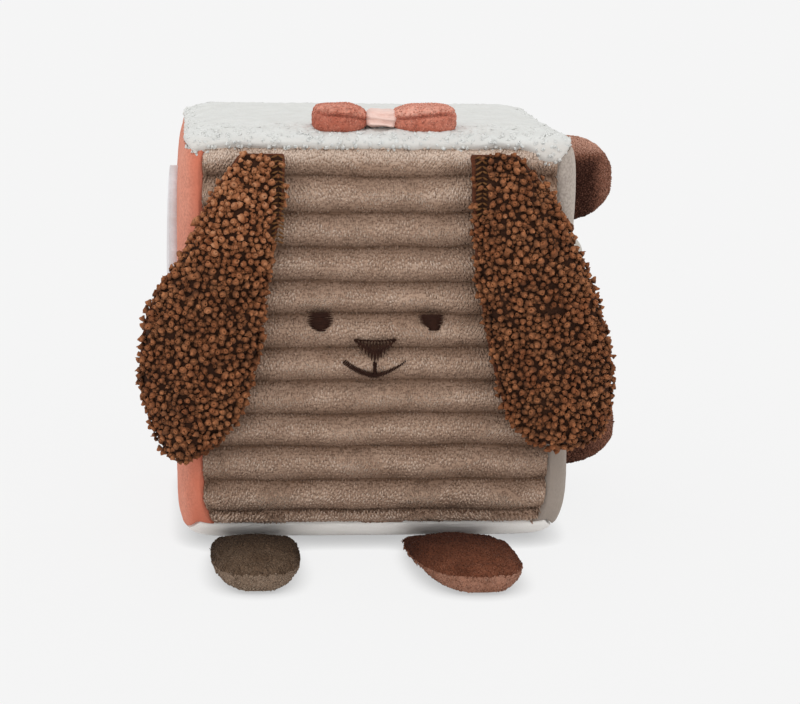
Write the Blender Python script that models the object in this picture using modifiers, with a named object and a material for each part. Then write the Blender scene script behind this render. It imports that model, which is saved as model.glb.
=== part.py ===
# A soft activity block for a baby: a stuffed, slightly tall cube with a dog's face on its ribbed front,
# two long curly ears, two stuffed feet, two stuffed tabs on one side and a bow on top.
# Metres, +Z up, the face looks to -Y, and the origin is the middle of the flat underside.

import math

import bmesh
import bpy
from mathutils import Matrix, Vector

# The stuffed block
block_width = 0.125
block_depth = 0.114
block_height = 0.1315
rest_cut = 0.00075
roundness_power = 7.5
end_roundness_power = 12
underside_roundness_power = 5.2
corner_fill_share = 0.55
corner_fill_power = 4.5
seam_gap = 0.0004
touch_gap = 0.0003
weld_distance = 0.00001
unit_cube_size = 2
panel_columns = 10
edge_crowding_share = 0.5

# The covers: every panel is cloth on wadding, and reaches the same depth inside
cover_thickness = 0.0044
core_gap = 0.0004
seam_pinch = 0.0008
left_seam_share = 0.93
sherpa_pile = 0.0006
pinch_power = 8
halvings = 40

# The ribs of the front panel
rib_pitch = 0.01064
lowest_groove_height = 0.012
groove_depth = 0.0028
rib_row_shares = (0.0, 0.2, 0.5, 0.8)
rib_rise_shares = (0.0, 0.78, 1.0, 0.78)

# The rattle inside the foam
bore_radius = 0.0165
rattle_radius = 0.0158
rattle_length = 0.021
rattle_wall = 0.0012
bead_radius = 0.0025
bead_spacing = 0.0057
bead_count = 3
round_steps = 24
bead_rings = 6
bead_segments = 10

# The ears
left_ear_length = 0.094
right_ear_length = 0.0905
left_ear_half_width = 0.0182
right_ear_half_width = 0.0186
ear_root_drop = 0.004
ear_lining_thickness = 0.0022
ear_rim = 0.0018
ear_crown = 0.0085
ear_face_gap = 0.0007
ear_bearing_share = 0.7
film_thickness = 0.0004
film_width_share = 0.7
film_start_share = 0.19
film_end_share = 0.80
left_ear_place = -0.036
right_ear_place = 0.0345
left_ear_splay = -0.0254
right_ear_splay = 0.022
ear_length_shares = (
    0.0, 0.03, 0.06, 0.09, 0.13, 0.19, 0.27, 0.36, 0.45, 0.54, 0.63, 0.72, 0.80, 0.87, 0.93, 0.975, 1.0
)
left_ear_width_shares = (
    0.38, 0.44, 0.49, 0.54, 0.60, 0.665, 0.71, 0.79, 0.92, 0.985, 1.0, 0.955, 0.85, 0.69, 0.50, 0.31, 0.0
)
right_ear_width_shares = (
    0.40, 0.46, 0.52, 0.58, 0.66, 0.73, 0.80, 0.89, 0.96, 0.98, 1.0, 0.985, 0.945, 0.87, 0.74, 0.48, 0.0
)
left_ear_shift_shares = (
    0.0, 0.04, 0.08, 0.12, 0.17, 0.24, 0.35, 0.47, 0.61, 0.69, 0.73, 0.775, 0.80, 0.82, 0.87, 0.92, 1.0
)
right_ear_shift_shares = (
    0.0, 0.06, 0.12, 0.18, 0.25, 0.33, 0.41, 0.51, 0.62, 0.72, 0.80, 0.88, 0.94, 0.965, 1.0, 1.0, 1.0
)
ear_crown_shares = (
    0.0, 0.2, 0.42, 0.6, 0.76, 0.92, 1.0, 1.0, 1.0, 1.0, 1.0, 1.0, 0.97, 0.9, 0.75, 0.5, 0.0
)
ear_columns = 8
film_columns = 4
skin_samples = 80

# The feet and the side tabs
paddle_cloth = 0.0012
paddle_length_shares = (0.0, 0.12, 0.28, 0.45, 0.60, 0.74, 0.86, 0.95, 1.0)
paddle_width_shares = (0.74, 0.86, 0.96, 1.0, 0.98, 0.89, 0.71, 0.45, 0.0)
paddle_crown_shares = (0.0, 0.34, 0.8, 1.0, 1.0, 0.95, 0.8, 0.5, 0.0)
paddle_cloth_shares = (0.35, 0.75, 1.0, 1.0, 1.0, 1.0, 1.0, 1.0, 1.0)
paddle_columns = 6
filling_width_share = 0.84
filling_start_share = 0.18
filling_end_share = 0.9
filling_rows = 6
foot_sole_crown_shares = (0.0, 0.34, 0.8, 1.0, 1.0, 1.0, 1.0, 0.93, 0.0)
left_foot_length = 0.053
right_foot_length = 0.0565
foot_top_crown = 0.004
foot_sole_crown = 0.001
foot_seam_climb = 0.0036
right_foot_lean = 0.005
left_foot_width = 0.0275
right_foot_width = 0.0328
left_foot_place = -0.0378
right_foot_place = 0.0228
floor_clearance = 0.0002
foot_swing_room = 0.0003
upper_tab_length = 0.0224
lower_tab_length = 0.0262
tab_width = 0.0285
tab_crown = 0.0036
tab_place = 0.02
upper_tab_drop = 0.0219
upper_tab_height = block_height - upper_tab_drop
lower_tab_height = 0.024

# The bow on top
bow_place = -0.0425
bow_middle = 0.0006
left_loop_length = 0.0162
right_loop_length = 0.0184
bow_loop_half_depth = 0.0085
bow_loop_half_height = 0.004
bow_neck_share = 0.62
knot_half_width = 0.0043
knot_half_depth = 0.0088
knot_half_height = 0.0037
bow_segments = 14
bow_rings = 8
bow_squareness_share = 0.5

# The embroidered face, stitched over the tops of the ribs
stitch_thickness = 0.0009
stitch_gap = 0.0003
face_middle = -0.0008
eye_height = 0.0738
eye_spacing = 0.0342
eye_half_width = 0.0041
eye_half_height = 0.0027
nose_top_height = 0.0683
nose_height = 0.0071
nose_bottom_height = nose_top_height - nose_height
nose_half_width = 0.0062
nose_width_shares = (0.70, 0.97, 1.0, 0.86, 0.58, 0.3, 0.0)
nose_columns = 4
stitch_line = 0.0019
smile_half_width = 0.009
smile_drop = 0.0056
smile_bottom_height = nose_bottom_height - smile_drop
smile_rise = 0.0034
smile_power = 1.6
smile_columns = 12
lip_line_overlap = 0.0006
lip_line_sink = 0.0001

# The smooth padded patches of the side panels
patch_gap = 0.0004
patch_rim = 0.0008
patch_columns = 8
patch_squareness_share = 0.62
left_patch_half_width = 0.037
left_patch_half_height = 0.047
left_patch_crown = 0.0005
left_patch_height = 0.0675
right_patch_half_width = 0.034
right_patch_half_height = 0.0275
right_patch_crown = 0.0066
right_patch_height = 0.0666

half_width = block_width / 2
half_depth = block_depth / 2
half_height = (block_height + rest_cut) / 2
middle_height = half_height - rest_cut
core_inset = cover_thickness + core_gap
root_half_thickness = touch_gap / 2 + paddle_cloth * paddle_cloth_shares[0]


def clear_scene():
    for item in list(bpy.data.objects):
        bpy.data.objects.remove(item, do_unlink=True)


def collection(name):
    made = bpy.data.collections.new(name)
    bpy.context.scene.collection.children.link(made)
    return made


def cloth(name, red, green, blue, roughness=0.95, metallic=0.0):
    """A plain finish from the colour as a screen shows it, 0 to 255."""
    made = bpy.data.materials.new(name)
    made.use_nodes = True
    shader = made.node_tree.nodes["Principled BSDF"]
    linear = [(part / 255) ** 2.2 for part in (red, green, blue)]
    shader.inputs["Base Color"].default_value = (*linear, 1.0)
    shader.inputs["Roughness"].default_value = roughness
    shader.inputs["Metallic"].default_value = metallic
    return made


def add_piece(name, mesh, material, group, hinge=None):
    """Put a mesh in the scene as one piece, hung on its hinge where it has one."""
    mesh.materials.append(material)
    mesh.shade_smooth()
    piece = bpy.data.objects.new(name, mesh)
    group.objects.link(piece)
    if hinge is not None:
        mesh.transform(Matrix.Translation(-hinge.location))
        piece.parent = hinge
    return piece


def add_hinge(name, place, group):
    hinge = bpy.data.objects.new(name, None)
    hinge.location = place
    group.objects.link(hinge)
    return hinge


def mesh_of(shape, name):
    mesh = bpy.data.meshes.new(name)
    shape.to_mesh(mesh)
    shape.free()
    return mesh


def slab(name, columns, rows, outer, inner):
    """A closed sheet: a flat grid is doubled, then its two sides are laid on two surfaces of (u, v)."""
    shape = bmesh.new()
    bmesh.ops.create_grid(shape, x_segments=columns, y_segments=rows, size=1.0)
    made = bmesh.ops.extrude_face_region(shape, geom=shape.faces[:], use_keep_orig=True)
    far_side = {item for item in made["geom"] if isinstance(item, bmesh.types.BMVert)}
    for vert in shape.verts:
        surface = inner if vert in far_side else outer
        vert.co = surface(vert.co.x, vert.co.y)
    bmesh.ops.remove_doubles(shape, verts=shape.verts, dist=weld_distance)
    shape.normal_update()
    bmesh.ops.recalc_face_normals(shape, faces=shape.faces)
    return mesh_of(shape, name)


def crowded(place):
    """Move a place between -1 and 1 towards the nearer end, so that the rounded edges get more faces."""
    return place * (1 + edge_crowding_share - edge_crowding_share * place * place)


def eased_across(place):
    return math.sin(place * math.pi / 2)


def read_table(places, values, place):
    """The value at a place of a table, on straight lines between its rows."""
    for low, high, first, second in zip(places, places[1:], values, values[1:]):
        if place <= high:
            return first + (second - first) * (place - low) / (high - low)
    return values[-1]


def row_of(place, rows):
    return round((place + 1) / 2 * rows)


def block_point(direction, inset=0.0):
    """The block's skin in a direction from its middle, or a surface that far inside it."""
    longest = max(abs(part) for part in direction)
    x, y, z = (abs(part) / longest for part in direction)
    power = roundness_power + (end_roundness_power - roundness_power) * z**2
    profile_end_power = end_roundness_power if direction[2] > 0 else underside_roundness_power
    profile_power = roundness_power + (profile_end_power - roundness_power) * z**2
    total = (y**profile_power + z**profile_power) ** (power / profile_power) + x**power
    total -= corner_fill_share * (x * y * z) ** corner_fill_power
    reach = total ** (-1 / power) / longest
    across = direction[0] * reach * (half_width - inset)
    along = direction[1] * reach * (half_depth - inset)
    up = direction[2] * reach * (half_height - inset) + middle_height
    return Vector((across, along, max(up, inset)))


def height_as_slope(height):
    """The slope of the direction from the block's middle that meets the front's middle line at a height."""
    low, high = -1.0, 1.0
    for _ in range(halvings):
        slope = (low + high) / 2
        if block_point((0, -1, slope)).z < height:
            low = slope
        else:
            high = slope
    return (low + high) / 2


seam_reach = (block_point((1, 0, 1)) - Vector((0, 0, middle_height))).length
panel_edge = 1 - seam_gap / seam_reach
bottom_seam_height = block_point((0, -1, -1)).z
top_seam_height = block_point((0, -1, 1)).z

# Each panel: the way it faces, its across and its up
panel_ways = {
    "front_panel": ((0, -1, 0), (1, 0, 0), (0, 0, 1)),
    "back_panel": ((0, 1, 0), (-1, 0, 0), (0, 0, 1)),
    "left_panel": ((-1, 0, 0), (0, -1, 0), (0, 0, 1)),
    "right_panel": ((1, 0, 0), (0, 1, 0), (0, 0, 1)),
    "top_panel": ((0, 0, 1), (1, 0, 0), (0, 1, 0)),
    "bottom_panel": ((0, 0, -1), (1, 0, 0), (0, -1, 0)),
}


def panel_direction(panel, u, v):
    """The way to a spot on a panel. The left panel reaches round onto the front, which gives way to it."""
    facing, across, up = (Vector(way) for way in panel_ways[panel])
    if panel == "front_panel" and u < 0:
        u *= left_seam_share
    return facing + across * u + up * (v * max(1.0, abs(u)))


def plain_panel(name, material, group, pile=0.0):
    """A panel drawn in at its seams, with its pile standing proud of the skin between them."""
    columns = panel_columns + 1 if name == "left_panel" else panel_columns

    def direction(u, v):
        column = row_of(u, columns)
        across = 1 / left_seam_share if column > panel_columns else crowded(2 * column / panel_columns - 1)
        return panel_direction(name, across * panel_edge, crowded(v) * panel_edge)

    def outer(u, v):
        nearness = max(abs(u), abs(v)) ** pinch_power
        return block_point(direction(u, v), seam_pinch * nearness - pile * (1 - nearness))

    def inner(u, v):
        return block_point(direction(u, v), cover_thickness)

    mesh = slab(name, columns, panel_columns, outer, inner)
    return add_piece(name, mesh, material, group)


def rib_rows():
    """Heights up the front panel, and how far each stands out between groove and crown."""
    grooves = [bottom_seam_height]
    height = lowest_groove_height
    while height < top_seam_height:
        grooves.append(height)
        height += rib_pitch
    grooves.append(top_seam_height)
    rows = []
    for low, high in zip(grooves, grooves[1:]):
        for place, rise in zip(rib_row_shares, rib_rise_shares):
            rows.append((low + (high - low) * place, rise))
    rows.append((top_seam_height, 0.0))
    return rows


def ribbed_panel(name, material, group):
    rows = rib_rows()

    def spot(u, v, inset):
        height, rise = rows[row_of(v, len(rows) - 1)]
        slope = max(-panel_edge, min(panel_edge, height_as_slope(height)))
        direction = panel_direction(name, crowded(u) * panel_edge, slope)
        return block_point(direction, inset(rise))

    def outer(u, v):
        return spot(u, v, lambda rise: groove_depth * (1 - rise))

    def inner(u, v):
        return spot(u, v, lambda rise: cover_thickness)

    mesh = slab(name, panel_columns, len(rows) - 1, outer, inner)
    return add_piece(name, mesh, material, group)


def foam_core(material, group, cutters):
    """The foam that fills the covers, with a blind bore from the back for the rattle."""
    shape = bmesh.new()
    bmesh.ops.create_cube(shape, size=unit_cube_size)
    bmesh.ops.subdivide_edges(shape, edges=shape.edges[:], cuts=panel_columns - 1, use_grid_fill=True)
    for vert in shape.verts:
        vert.co = block_point([crowded(part) for part in vert.co], core_inset)
    core = add_piece("foam_core", mesh_of(shape, "foam_core"), material, group)
    bore_floor = -rattle_length / 2 - touch_gap
    mouth = half_depth
    bpy.ops.mesh.primitive_cylinder_add(
        vertices=round_steps,
        radius=bore_radius,
        depth=mouth - bore_floor,
        location=(0, (mouth + bore_floor) / 2, middle_height),
        rotation=(math.pi / 2, 0, 0),
    )
    cutter = bpy.context.active_object
    cutter.name = "bore_cutter"
    cutter.display_type = "WIRE"
    cutter.hide_render = True
    for home in list(cutter.users_collection):
        home.objects.unlink(cutter)
    cutters.objects.link(cutter)
    cut = core.modifiers.new("bore", "BOOLEAN")
    cut.operation = "DIFFERENCE"
    cut.object = cutter
    return core


def foam_plug(material, group):
    """The foam disc that closes the bore behind the rattle."""
    start = rattle_length / 2 + touch_gap
    end = half_depth - core_inset
    shape = bmesh.new()
    plug_radius = bore_radius - touch_gap
    bmesh.ops.create_cone(
        shape, cap_ends=True, segments=round_steps, radius1=plug_radius, radius2=plug_radius, depth=end - start
    )
    turn = Matrix.Rotation(math.pi / 2, 4, "X")
    place = Matrix.Translation((0, (start + end) / 2, middle_height))
    bmesh.ops.transform(shape, matrix=place @ turn, verts=shape.verts)
    return add_piece("foam_plug", mesh_of(shape, "foam_plug"), material, group)


def turned(name, profile, material, group):
    """A round shell along Y: a profile of (radius, place along the axis) turned by a Screw."""
    mesh = bpy.data.meshes.new(name)
    points = [(radius, 0, place) for radius, place in profile]
    edges = [(index, index + 1) for index in range(len(points) - 1)]
    mesh.from_pydata(points, edges, [])
    piece = bpy.data.objects.new(name, mesh)
    mesh.materials.append(material)
    group.objects.link(piece)
    piece.location = (0, 0, middle_height)
    piece.rotation_euler = (math.pi / 2, 0, 0)
    screw = piece.modifiers.new("turn", "SCREW")
    screw.steps = round_steps
    screw.render_steps = round_steps
    screw.use_merge_vertices = True
    screw.merge_threshold = weld_distance
    screw.use_smooth_shade = True
    return piece


def rattle(shell_material, bead_material, group):
    """A two-part drum with loose beads that lie in the bottom of its bore."""
    end = rattle_length / 2
    meeting = touch_gap / 2
    floor = end - rattle_wall
    bore = rattle_radius - rattle_wall
    back_half = [(0, -floor), (bore, -floor), (bore, -meeting), (rattle_radius, -meeting), (rattle_radius, -end), (0, -end)]
    front_half = [(0, end), (rattle_radius, end), (rattle_radius, meeting), (bore, meeting), (bore, floor), (0, floor)]
    turned("rattle_shell_back", back_half, shell_material, group)
    turned("rattle_shell_front", front_half, shell_material, group)
    for number in range(bead_count):
        shape = bmesh.new()
        bmesh.ops.create_uvsphere(shape, u_segments=bead_segments, v_segments=bead_rings, radius=bead_radius)
        along = (number - (bead_count - 1) / 2) * bead_spacing
        height = middle_height - bore + bead_radius + touch_gap
        bmesh.ops.translate(shape, verts=shape.verts, vec=(0, along, height))
        name = f"rattle_bead_{number + 1}"
        add_piece(name, mesh_of(shape, name), bead_material, group)


def skin_line(gap):
    """Points down the front where it bulges most under an ear, from the top seam to the bottom seam."""
    line = []
    for step in range(skin_samples + 1):
        slope = 1 - 2 * step / skin_samples
        spot = block_point((ear_bearing_share, -1, slope), -gap)
        line.append(Vector((0, spot.y, spot.z)))
    return line


def walk(line, distance):
    """The point that far along a line in the YZ plane, and the way outwards from it."""
    left = distance
    for start, end in zip(line, line[1:]):
        step = end - start
        if left <= step.length or end is line[-1]:
            along = step.normalized()
            return start + along * left, Vector((0, along.z, -along.y))
        left -= step.length


ear_root_thickness = ear_lining_thickness + touch_gap + ear_rim
ear_line = skin_line(ear_face_gap)
ear_seam, ear_seam_way = walk(ear_line, ear_root_drop)

# Each ear: where its root is across the front, its length and half width, how far its tip lies to the side,
# and the tables of its outline
ear_sizes = {
    "left": (
        left_ear_place,
        left_ear_length,
        left_ear_half_width,
        left_ear_splay,
        left_ear_width_shares,
        left_ear_shift_shares,
    ),
    "right": (
        right_ear_place,
        right_ear_length,
        right_ear_half_width,
        right_ear_splay,
        right_ear_width_shares,
        right_ear_shift_shares,
    ),
}


def ear_hinge_place(side):
    return ear_seam + ear_seam_way * (ear_root_thickness / 2) + Vector((ear_sizes[side][0], 0, 0))


def ear_point(side, u, share, lift):
    """A point of an ear: u across it, a share of its length down it, and lifted off the face."""
    place, length, half_across, splay, width_shares, shift_shares = ear_sizes[side]
    spot, outwards = walk(ear_line, ear_root_drop + share * length)
    middle = place + splay * read_table(ear_length_shares, shift_shares, share)
    across = half_across * read_table(ear_length_shares, width_shares, share)
    return spot + outwards * lift + Vector((middle + across * u, 0, 0))


def ear(side, curly, lining_cloth, film_sheet, group):
    """An ear of two sewn sheets with a crinkle film between them, hung at the top seam of the front."""
    hinge = add_hinge(f"{side}_ear_hinge", ear_hinge_place(side), group)
    rows = len(ear_length_shares) - 1
    recess = film_thickness + touch_gap

    def share_at(v):
        return ear_length_shares[row_of(-v, rows)]

    def lining_back(u, v):
        return ear_point(side, eased_across(u), share_at(v), 0.0)

    def lining_front(u, v):
        share = share_at(v)
        covers = film_start_share <= share <= film_end_share
        depth = recess * (1 - eased_across(u) ** 6) if covers else 0.0
        return ear_point(side, eased_across(u), share, ear_lining_thickness - depth)

    def curls_back(u, v):
        return ear_point(side, eased_across(u), share_at(v), ear_lining_thickness + touch_gap)

    def curls_front(u, v):
        share = share_at(v)
        crown = ear_crown * read_table(ear_length_shares, ear_crown_shares, share)
        swell = crown * math.sqrt(max(0.0, 1 - eased_across(u) ** 2))
        lift = ear_lining_thickness + touch_gap + ear_rim + swell
        return ear_point(side, eased_across(u), share, lift)

    film_shares = [share for share in ear_length_shares if film_start_share <= share <= film_end_share]
    film_rows = len(film_shares) - 1

    def film_side(lift):
        def surface(u, v):
            share = film_shares[row_of(-v, film_rows)]
            return ear_point(side, u * film_width_share, share, lift)

        return surface

    film_low = ear_lining_thickness - recess + touch_gap
    film_high = film_low + film_thickness
    sheets = (
        (f"{side}_ear_curly_cover", ear_columns, rows, curls_front, curls_back, curly),
        (f"{side}_ear_lining", ear_columns, rows, lining_front, lining_back, lining_cloth),
        (f"{side}_ear_crinkle_film", film_columns, film_rows, film_side(film_high), film_side(film_low), film_sheet),
    )
    for name, columns, count, outer, inner, material in sheets:
        add_piece(name, slab(name, columns, count, outer, inner), material, group, hinge)


def paddle(name, place, forward, across, size, fullness, finish, stuffing, group):
    """A stuffed half-oval sewn along its root: two domed cloths that meet at a rim seam, and their filling."""
    width, length, lean = size
    top_crown, under_crown, under_shares, climb = fullness
    hinge = add_hinge(f"{name}_hinge", place, group)
    normal = forward.cross(across)
    rows = len(paddle_length_shares) - 1

    def spot(u, share, lift):
        half = width / 2 * read_table(paddle_length_shares, paddle_width_shares, share)
        along = forward * (share * length) + across * (half * u + lean * share)
        return place + along + normal * (climb * share + lift)

    def crown(sign, u, share):
        if sign > 0:
            bulge = top_crown * read_table(paddle_length_shares, paddle_crown_shares, share)
        else:
            bulge = (under_crown + climb * share) * read_table(paddle_length_shares, under_shares, share)
        return bulge * math.sqrt(max(0.0, 1 - u * u))

    def cloth_side(sign, thickness):
        def surface(u, v):
            row = row_of(v, rows)
            share = paddle_length_shares[row]
            eased = eased_across(u)
            wall = thickness * paddle_cloth_shares[row]
            return spot(eased, share, sign * (touch_gap / 2 + crown(sign, eased, share) + wall))

        return surface

    def filling_side(sign):
        def surface(u, v):
            share = filling_start_share + (filling_end_share - filling_start_share) * (v + 1) / 2
            inside = u * filling_width_share
            return spot(inside, share, sign * (crown(sign, inside, share) - touch_gap))

        return surface

    top, sole, filling = name_parts(name)
    for part, sign in ((top, 1), (sole, -1)):
        mesh = slab(part, paddle_columns, rows, cloth_side(sign, paddle_cloth), cloth_side(sign, 0.0))
        add_piece(part, mesh, finish, group, hinge)
    mesh = slab(filling, paddle_columns, filling_rows, filling_side(1), filling_side(-1))
    add_piece(filling, mesh, stuffing, group, hinge)


def name_parts(name):
    if name.endswith("foot"):
        return f"{name}_top", f"{name}_sole", f"{name}_filling"
    return f"{name}_front", f"{name}_back", f"{name}_filling"


def underside_spot(height):
    """The place on the middle line of the underside, towards the front, where it has risen to a height."""
    low, high = 0.0, 1.0
    for _ in range(halvings):
        slope = (low + high) / 2
        if block_point((0, -slope, -1)).z < height:
            low = slope
        else:
            high = slope
    return block_point((0, -(low + high) / 2, -1))


def feet(taupe, brown, stuffing, group):
    rim_height = floor_clearance + paddle_cloth + foot_sole_crown + touch_gap / 2
    seam = underside_spot(rim_height + root_half_thickness + touch_gap + foot_swing_room)
    forward = Vector((0, -1, 0))
    across = Vector((1, 0, 0))
    fullness = (foot_top_crown, foot_sole_crown, foot_sole_crown_shares, foot_seam_climb)
    for name, place, size, finish in (
        ("left_foot", left_foot_place, (left_foot_width, left_foot_length, 0.0), taupe),
        ("right_foot", right_foot_place, (right_foot_width, right_foot_length, right_foot_lean), brown),
    ):
        root = Vector((place, seam.y, rim_height))
        paddle(name, root, forward, across, size, fullness, finish, stuffing, group)


def right_face_at(height):
    """How far out the right face reaches at a height, in line with the tabs."""
    low, high = -1.0, 1.0
    for _ in range(halvings):
        slope = (low + high) / 2
        if block_point((1, tab_place / half_width, slope)).z < height:
            low = slope
        else:
            high = slope
    return block_point((1, tab_place / half_width, (low + high) / 2)).x


def side_tabs(brown, stuffing, group):
    root_half = tab_width / 2 * paddle_width_shares[0]
    fullness = (tab_crown, tab_crown, paddle_crown_shares, 0.0)
    forward = Vector((1, 0, 0))
    across = Vector((0, 0, 1))
    for name, height, length in (
        ("upper_tab", upper_tab_height, upper_tab_length),
        ("lower_tab", lower_tab_height, lower_tab_length),
    ):
        face = max(right_face_at(height - root_half), right_face_at(height + root_half))
        root = Vector((face + touch_gap + root_half_thickness, tab_place, height))
        paddle(name, root, forward, across, (tab_width, length, 0.0), fullness, brown, stuffing, group)


def bow_part(name, middle, reach, half_depth_at, half_height_at, material, group):
    """A soft lobe along X that rests flat on the top panel's pile."""
    rest = block_height + sherpa_pile + touch_gap
    shape = bmesh.new()
    bmesh.ops.create_uvsphere(shape, u_segments=bow_segments, v_segments=bow_rings, radius=1.0)
    for vert in shape.verts:
        along = vert.co.z
        ring = Vector((vert.co.x, vert.co.y))
        if ring.length > 0:
            fuller = ring.length ** (bow_squareness_share - 1)
            ring = ring * fuller
        share = (along + 1) / 2
        up = half_height_at(share)
        depth = ring.x * half_depth_at(share)
        height = rest + up + ring.y * up
        vert.co = Vector((middle + along * reach, bow_place + depth, height))
    return add_piece(name, mesh_of(shape, name), material, group)


def bow(plush, satin, group):
    """Two plush loops, narrow at the knot, and a satin knot between them."""
    full_at = 1 - bow_neck_share / 2

    def swell(share, size):
        return size * (bow_neck_share + (1 - bow_neck_share) * math.sin(math.pi / 2 * min(1.0, share / full_at)))

    for side, sign, length in (("left", -1, left_loop_length), ("right", 1, right_loop_length)):
        middle = bow_middle + sign * (knot_half_width + touch_gap + length / 2)

        def outwards(share, sign=sign):
            return share if sign > 0 else 1 - share

        bow_part(
            f"bow_loop_{side}",
            middle,
            length / 2,
            lambda share: swell(outwards(share), bow_loop_half_depth),
            lambda share: swell(outwards(share), bow_loop_half_height),
            plush,
            group,
        )
    bow_part(
        "bow_knot",
        bow_middle,
        knot_half_width,
        lambda share: knot_half_depth,
        lambda share: knot_half_height,
        satin,
        group,
    )


def front_spot(x, height, lift):
    """A point on the smooth skin of the front over the ribs' crowns, lifted off it."""
    direction = (x / half_width, -1, (height - middle_height) / half_height)
    return block_point(direction, -lift)


def stitched(name, columns, rows, outline, material, group, sink=0.0):
    """A stitched patch on the crowns of the ribs, its outline a function of (u, v)."""

    def outer(u, v):
        return front_spot(*outline(u, v), stitch_gap + stitch_thickness - sink)

    def inner(u, v):
        return front_spot(*outline(u, v), stitch_gap + sink)

    return add_piece(name, slab(name, columns, rows, outer, inner), material, group)


def rounded(u, v, squareness):
    """A square grid drawn towards a disc, by how square its outline stays."""
    disc = Vector((u * math.sqrt(1 - v * v / 2), v * math.sqrt(1 - u * u / 2)))
    return disc.lerp(Vector((u, v)), squareness)


def dog_face(thread, group, cutters):
    for side, sign in (("left", -1), ("right", 1)):
        middle = face_middle + sign * eye_spacing / 2

        def eye(u, v, middle=middle):
            spot = rounded(u, v, 0.0)
            return middle + spot.x * eye_half_width, eye_height + spot.y * eye_half_height

        stitched(f"{side}_eye_stitching", nose_columns, nose_columns, eye, thread, group)

    nose_rows = len(nose_width_shares) - 1

    def nose(u, v):
        row = row_of(-v, nose_rows)
        height = nose_top_height + (nose_bottom_height - nose_top_height) * row / nose_rows
        return face_middle + u * nose_half_width * nose_width_shares[row], height

    stitched("nose_stitching", nose_columns, nose_rows, nose, thread, group)

    def smile(u, v):
        height = smile_bottom_height + smile_rise * abs(u) ** smile_power
        return face_middle + u * smile_half_width, height + v * stitch_line / 2

    mouth = stitched("mouth_stitching", smile_columns, 2, smile, thread, group)
    lip_top = nose_bottom_height - touch_gap
    lip_foot = smile_bottom_height + stitch_line / 2 - lip_line_overlap

    def lip_line(u, v):
        height = lip_foot + (lip_top - lip_foot) * (v + 1) / 2
        return face_middle + u * stitch_line / 2, height

    extra = stitched("lip_line_cutter", 2, 2, lip_line, thread, cutters, lip_line_sink)
    extra.display_type = "WIRE"
    extra.hide_render = True
    join = mouth.modifiers.new("lip_line", "BOOLEAN")
    join.operation = "UNION"
    join.object = extra


def side_patch(name, panel, half_across, half_up, crown, height, material, group):
    """A smooth padded patch on a side panel, a rounded square, thickest in its middle."""

    def spot(u, v, lift):
        flat = rounded(u, v, patch_squareness_share)
        up = (height - middle_height + flat.y * half_up) / half_height
        direction = panel_direction(panel, flat.x * half_across / half_depth, up)
        return block_point(direction, -lift)

    def outer(u, v):
        swell = crown * math.sqrt(max(0.0, (1 - u**4) * (1 - v**4)))
        return spot(u, v, patch_gap + patch_rim + swell)

    def inner(u, v):
        return spot(u, v, patch_gap)

    return add_piece(name, slab(name, patch_columns, patch_columns, outer, inner), material, group)


def build():
    clear_scene()
    group = collection("soft_activity_block")
    cutters = collection("cutters")
    ribbed_plush = cloth("ribbed taupe plush", 184, 160, 140)
    sherpa = cloth("white sherpa", 226, 221, 216)
    coral = cloth("coral velour", 205, 137, 115)
    grey = cloth("grey velour", 132, 118, 106)
    white = cloth("white cotton", 214, 208, 200, 0.85)
    back_cloth = cloth("taupe velour back", 160, 138, 120)
    curly = cloth("brown curly plush", 112, 72, 50)
    brown = cloth("brown plush", 118, 72, 52)
    taupe = cloth("dark taupe plush", 96, 80, 66)
    foam = cloth("foam", 232, 226, 205, 0.9)
    stuffing = cloth("polyester stuffing", 238, 238, 238)
    film_sheet = cloth("crinkle film", 220, 224, 228, 0.3)
    shell = cloth("rattle plastic", 226, 226, 222, 0.4)
    bead = cloth("bead plastic", 90, 130, 170, 0.35)
    bow_plush = cloth("salmon plush", 212, 140, 115)
    satin = cloth("pale salmon satin", 237, 202, 190, 0.35)
    thread = cloth("dark brown thread", 48, 28, 20, 0.55)
    pale_patch = cloth("pale lilac-grey cloth", 214, 207, 208, 0.7)
    white_patch = cloth("white cloth", 198, 192, 184, 0.7)

    ribbed_panel("front_panel", ribbed_plush, group)
    plain_panel("top_panel", sherpa, group, sherpa_pile)
    plain_panel("left_panel", coral, group)
    plain_panel("right_panel", grey, group)
    plain_panel("back_panel", back_cloth, group)
    plain_panel("bottom_panel", white, group)
    foam_core(foam, group, cutters)
    foam_plug(foam, group)
    rattle(shell, bead, group)
    ear("left", curly, brown, film_sheet, group)
    ear("right", curly, brown, film_sheet, group)
    feet(taupe, brown, stuffing, group)
    side_tabs(brown, stuffing, group)
    bow(bow_plush, satin, group)
    dog_face(thread, group, cutters)
    side_patch(
        "left_patch",
        "left_panel",
        left_patch_half_width,
        left_patch_half_height,
        left_patch_crown,
        left_patch_height,
        pale_patch,
        group,
    )
    side_patch(
        "right_patch",
        "right_panel",
        right_patch_half_width,
        right_patch_half_height,
        right_patch_crown,
        right_patch_height,
        white_patch,
        group,
    )


build()
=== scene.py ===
import math
import random

import bmesh
import bpy
import numpy as np
from mathutils import Matrix, Vector, noise
from mathutils.bvhtree import BVHTree


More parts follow.
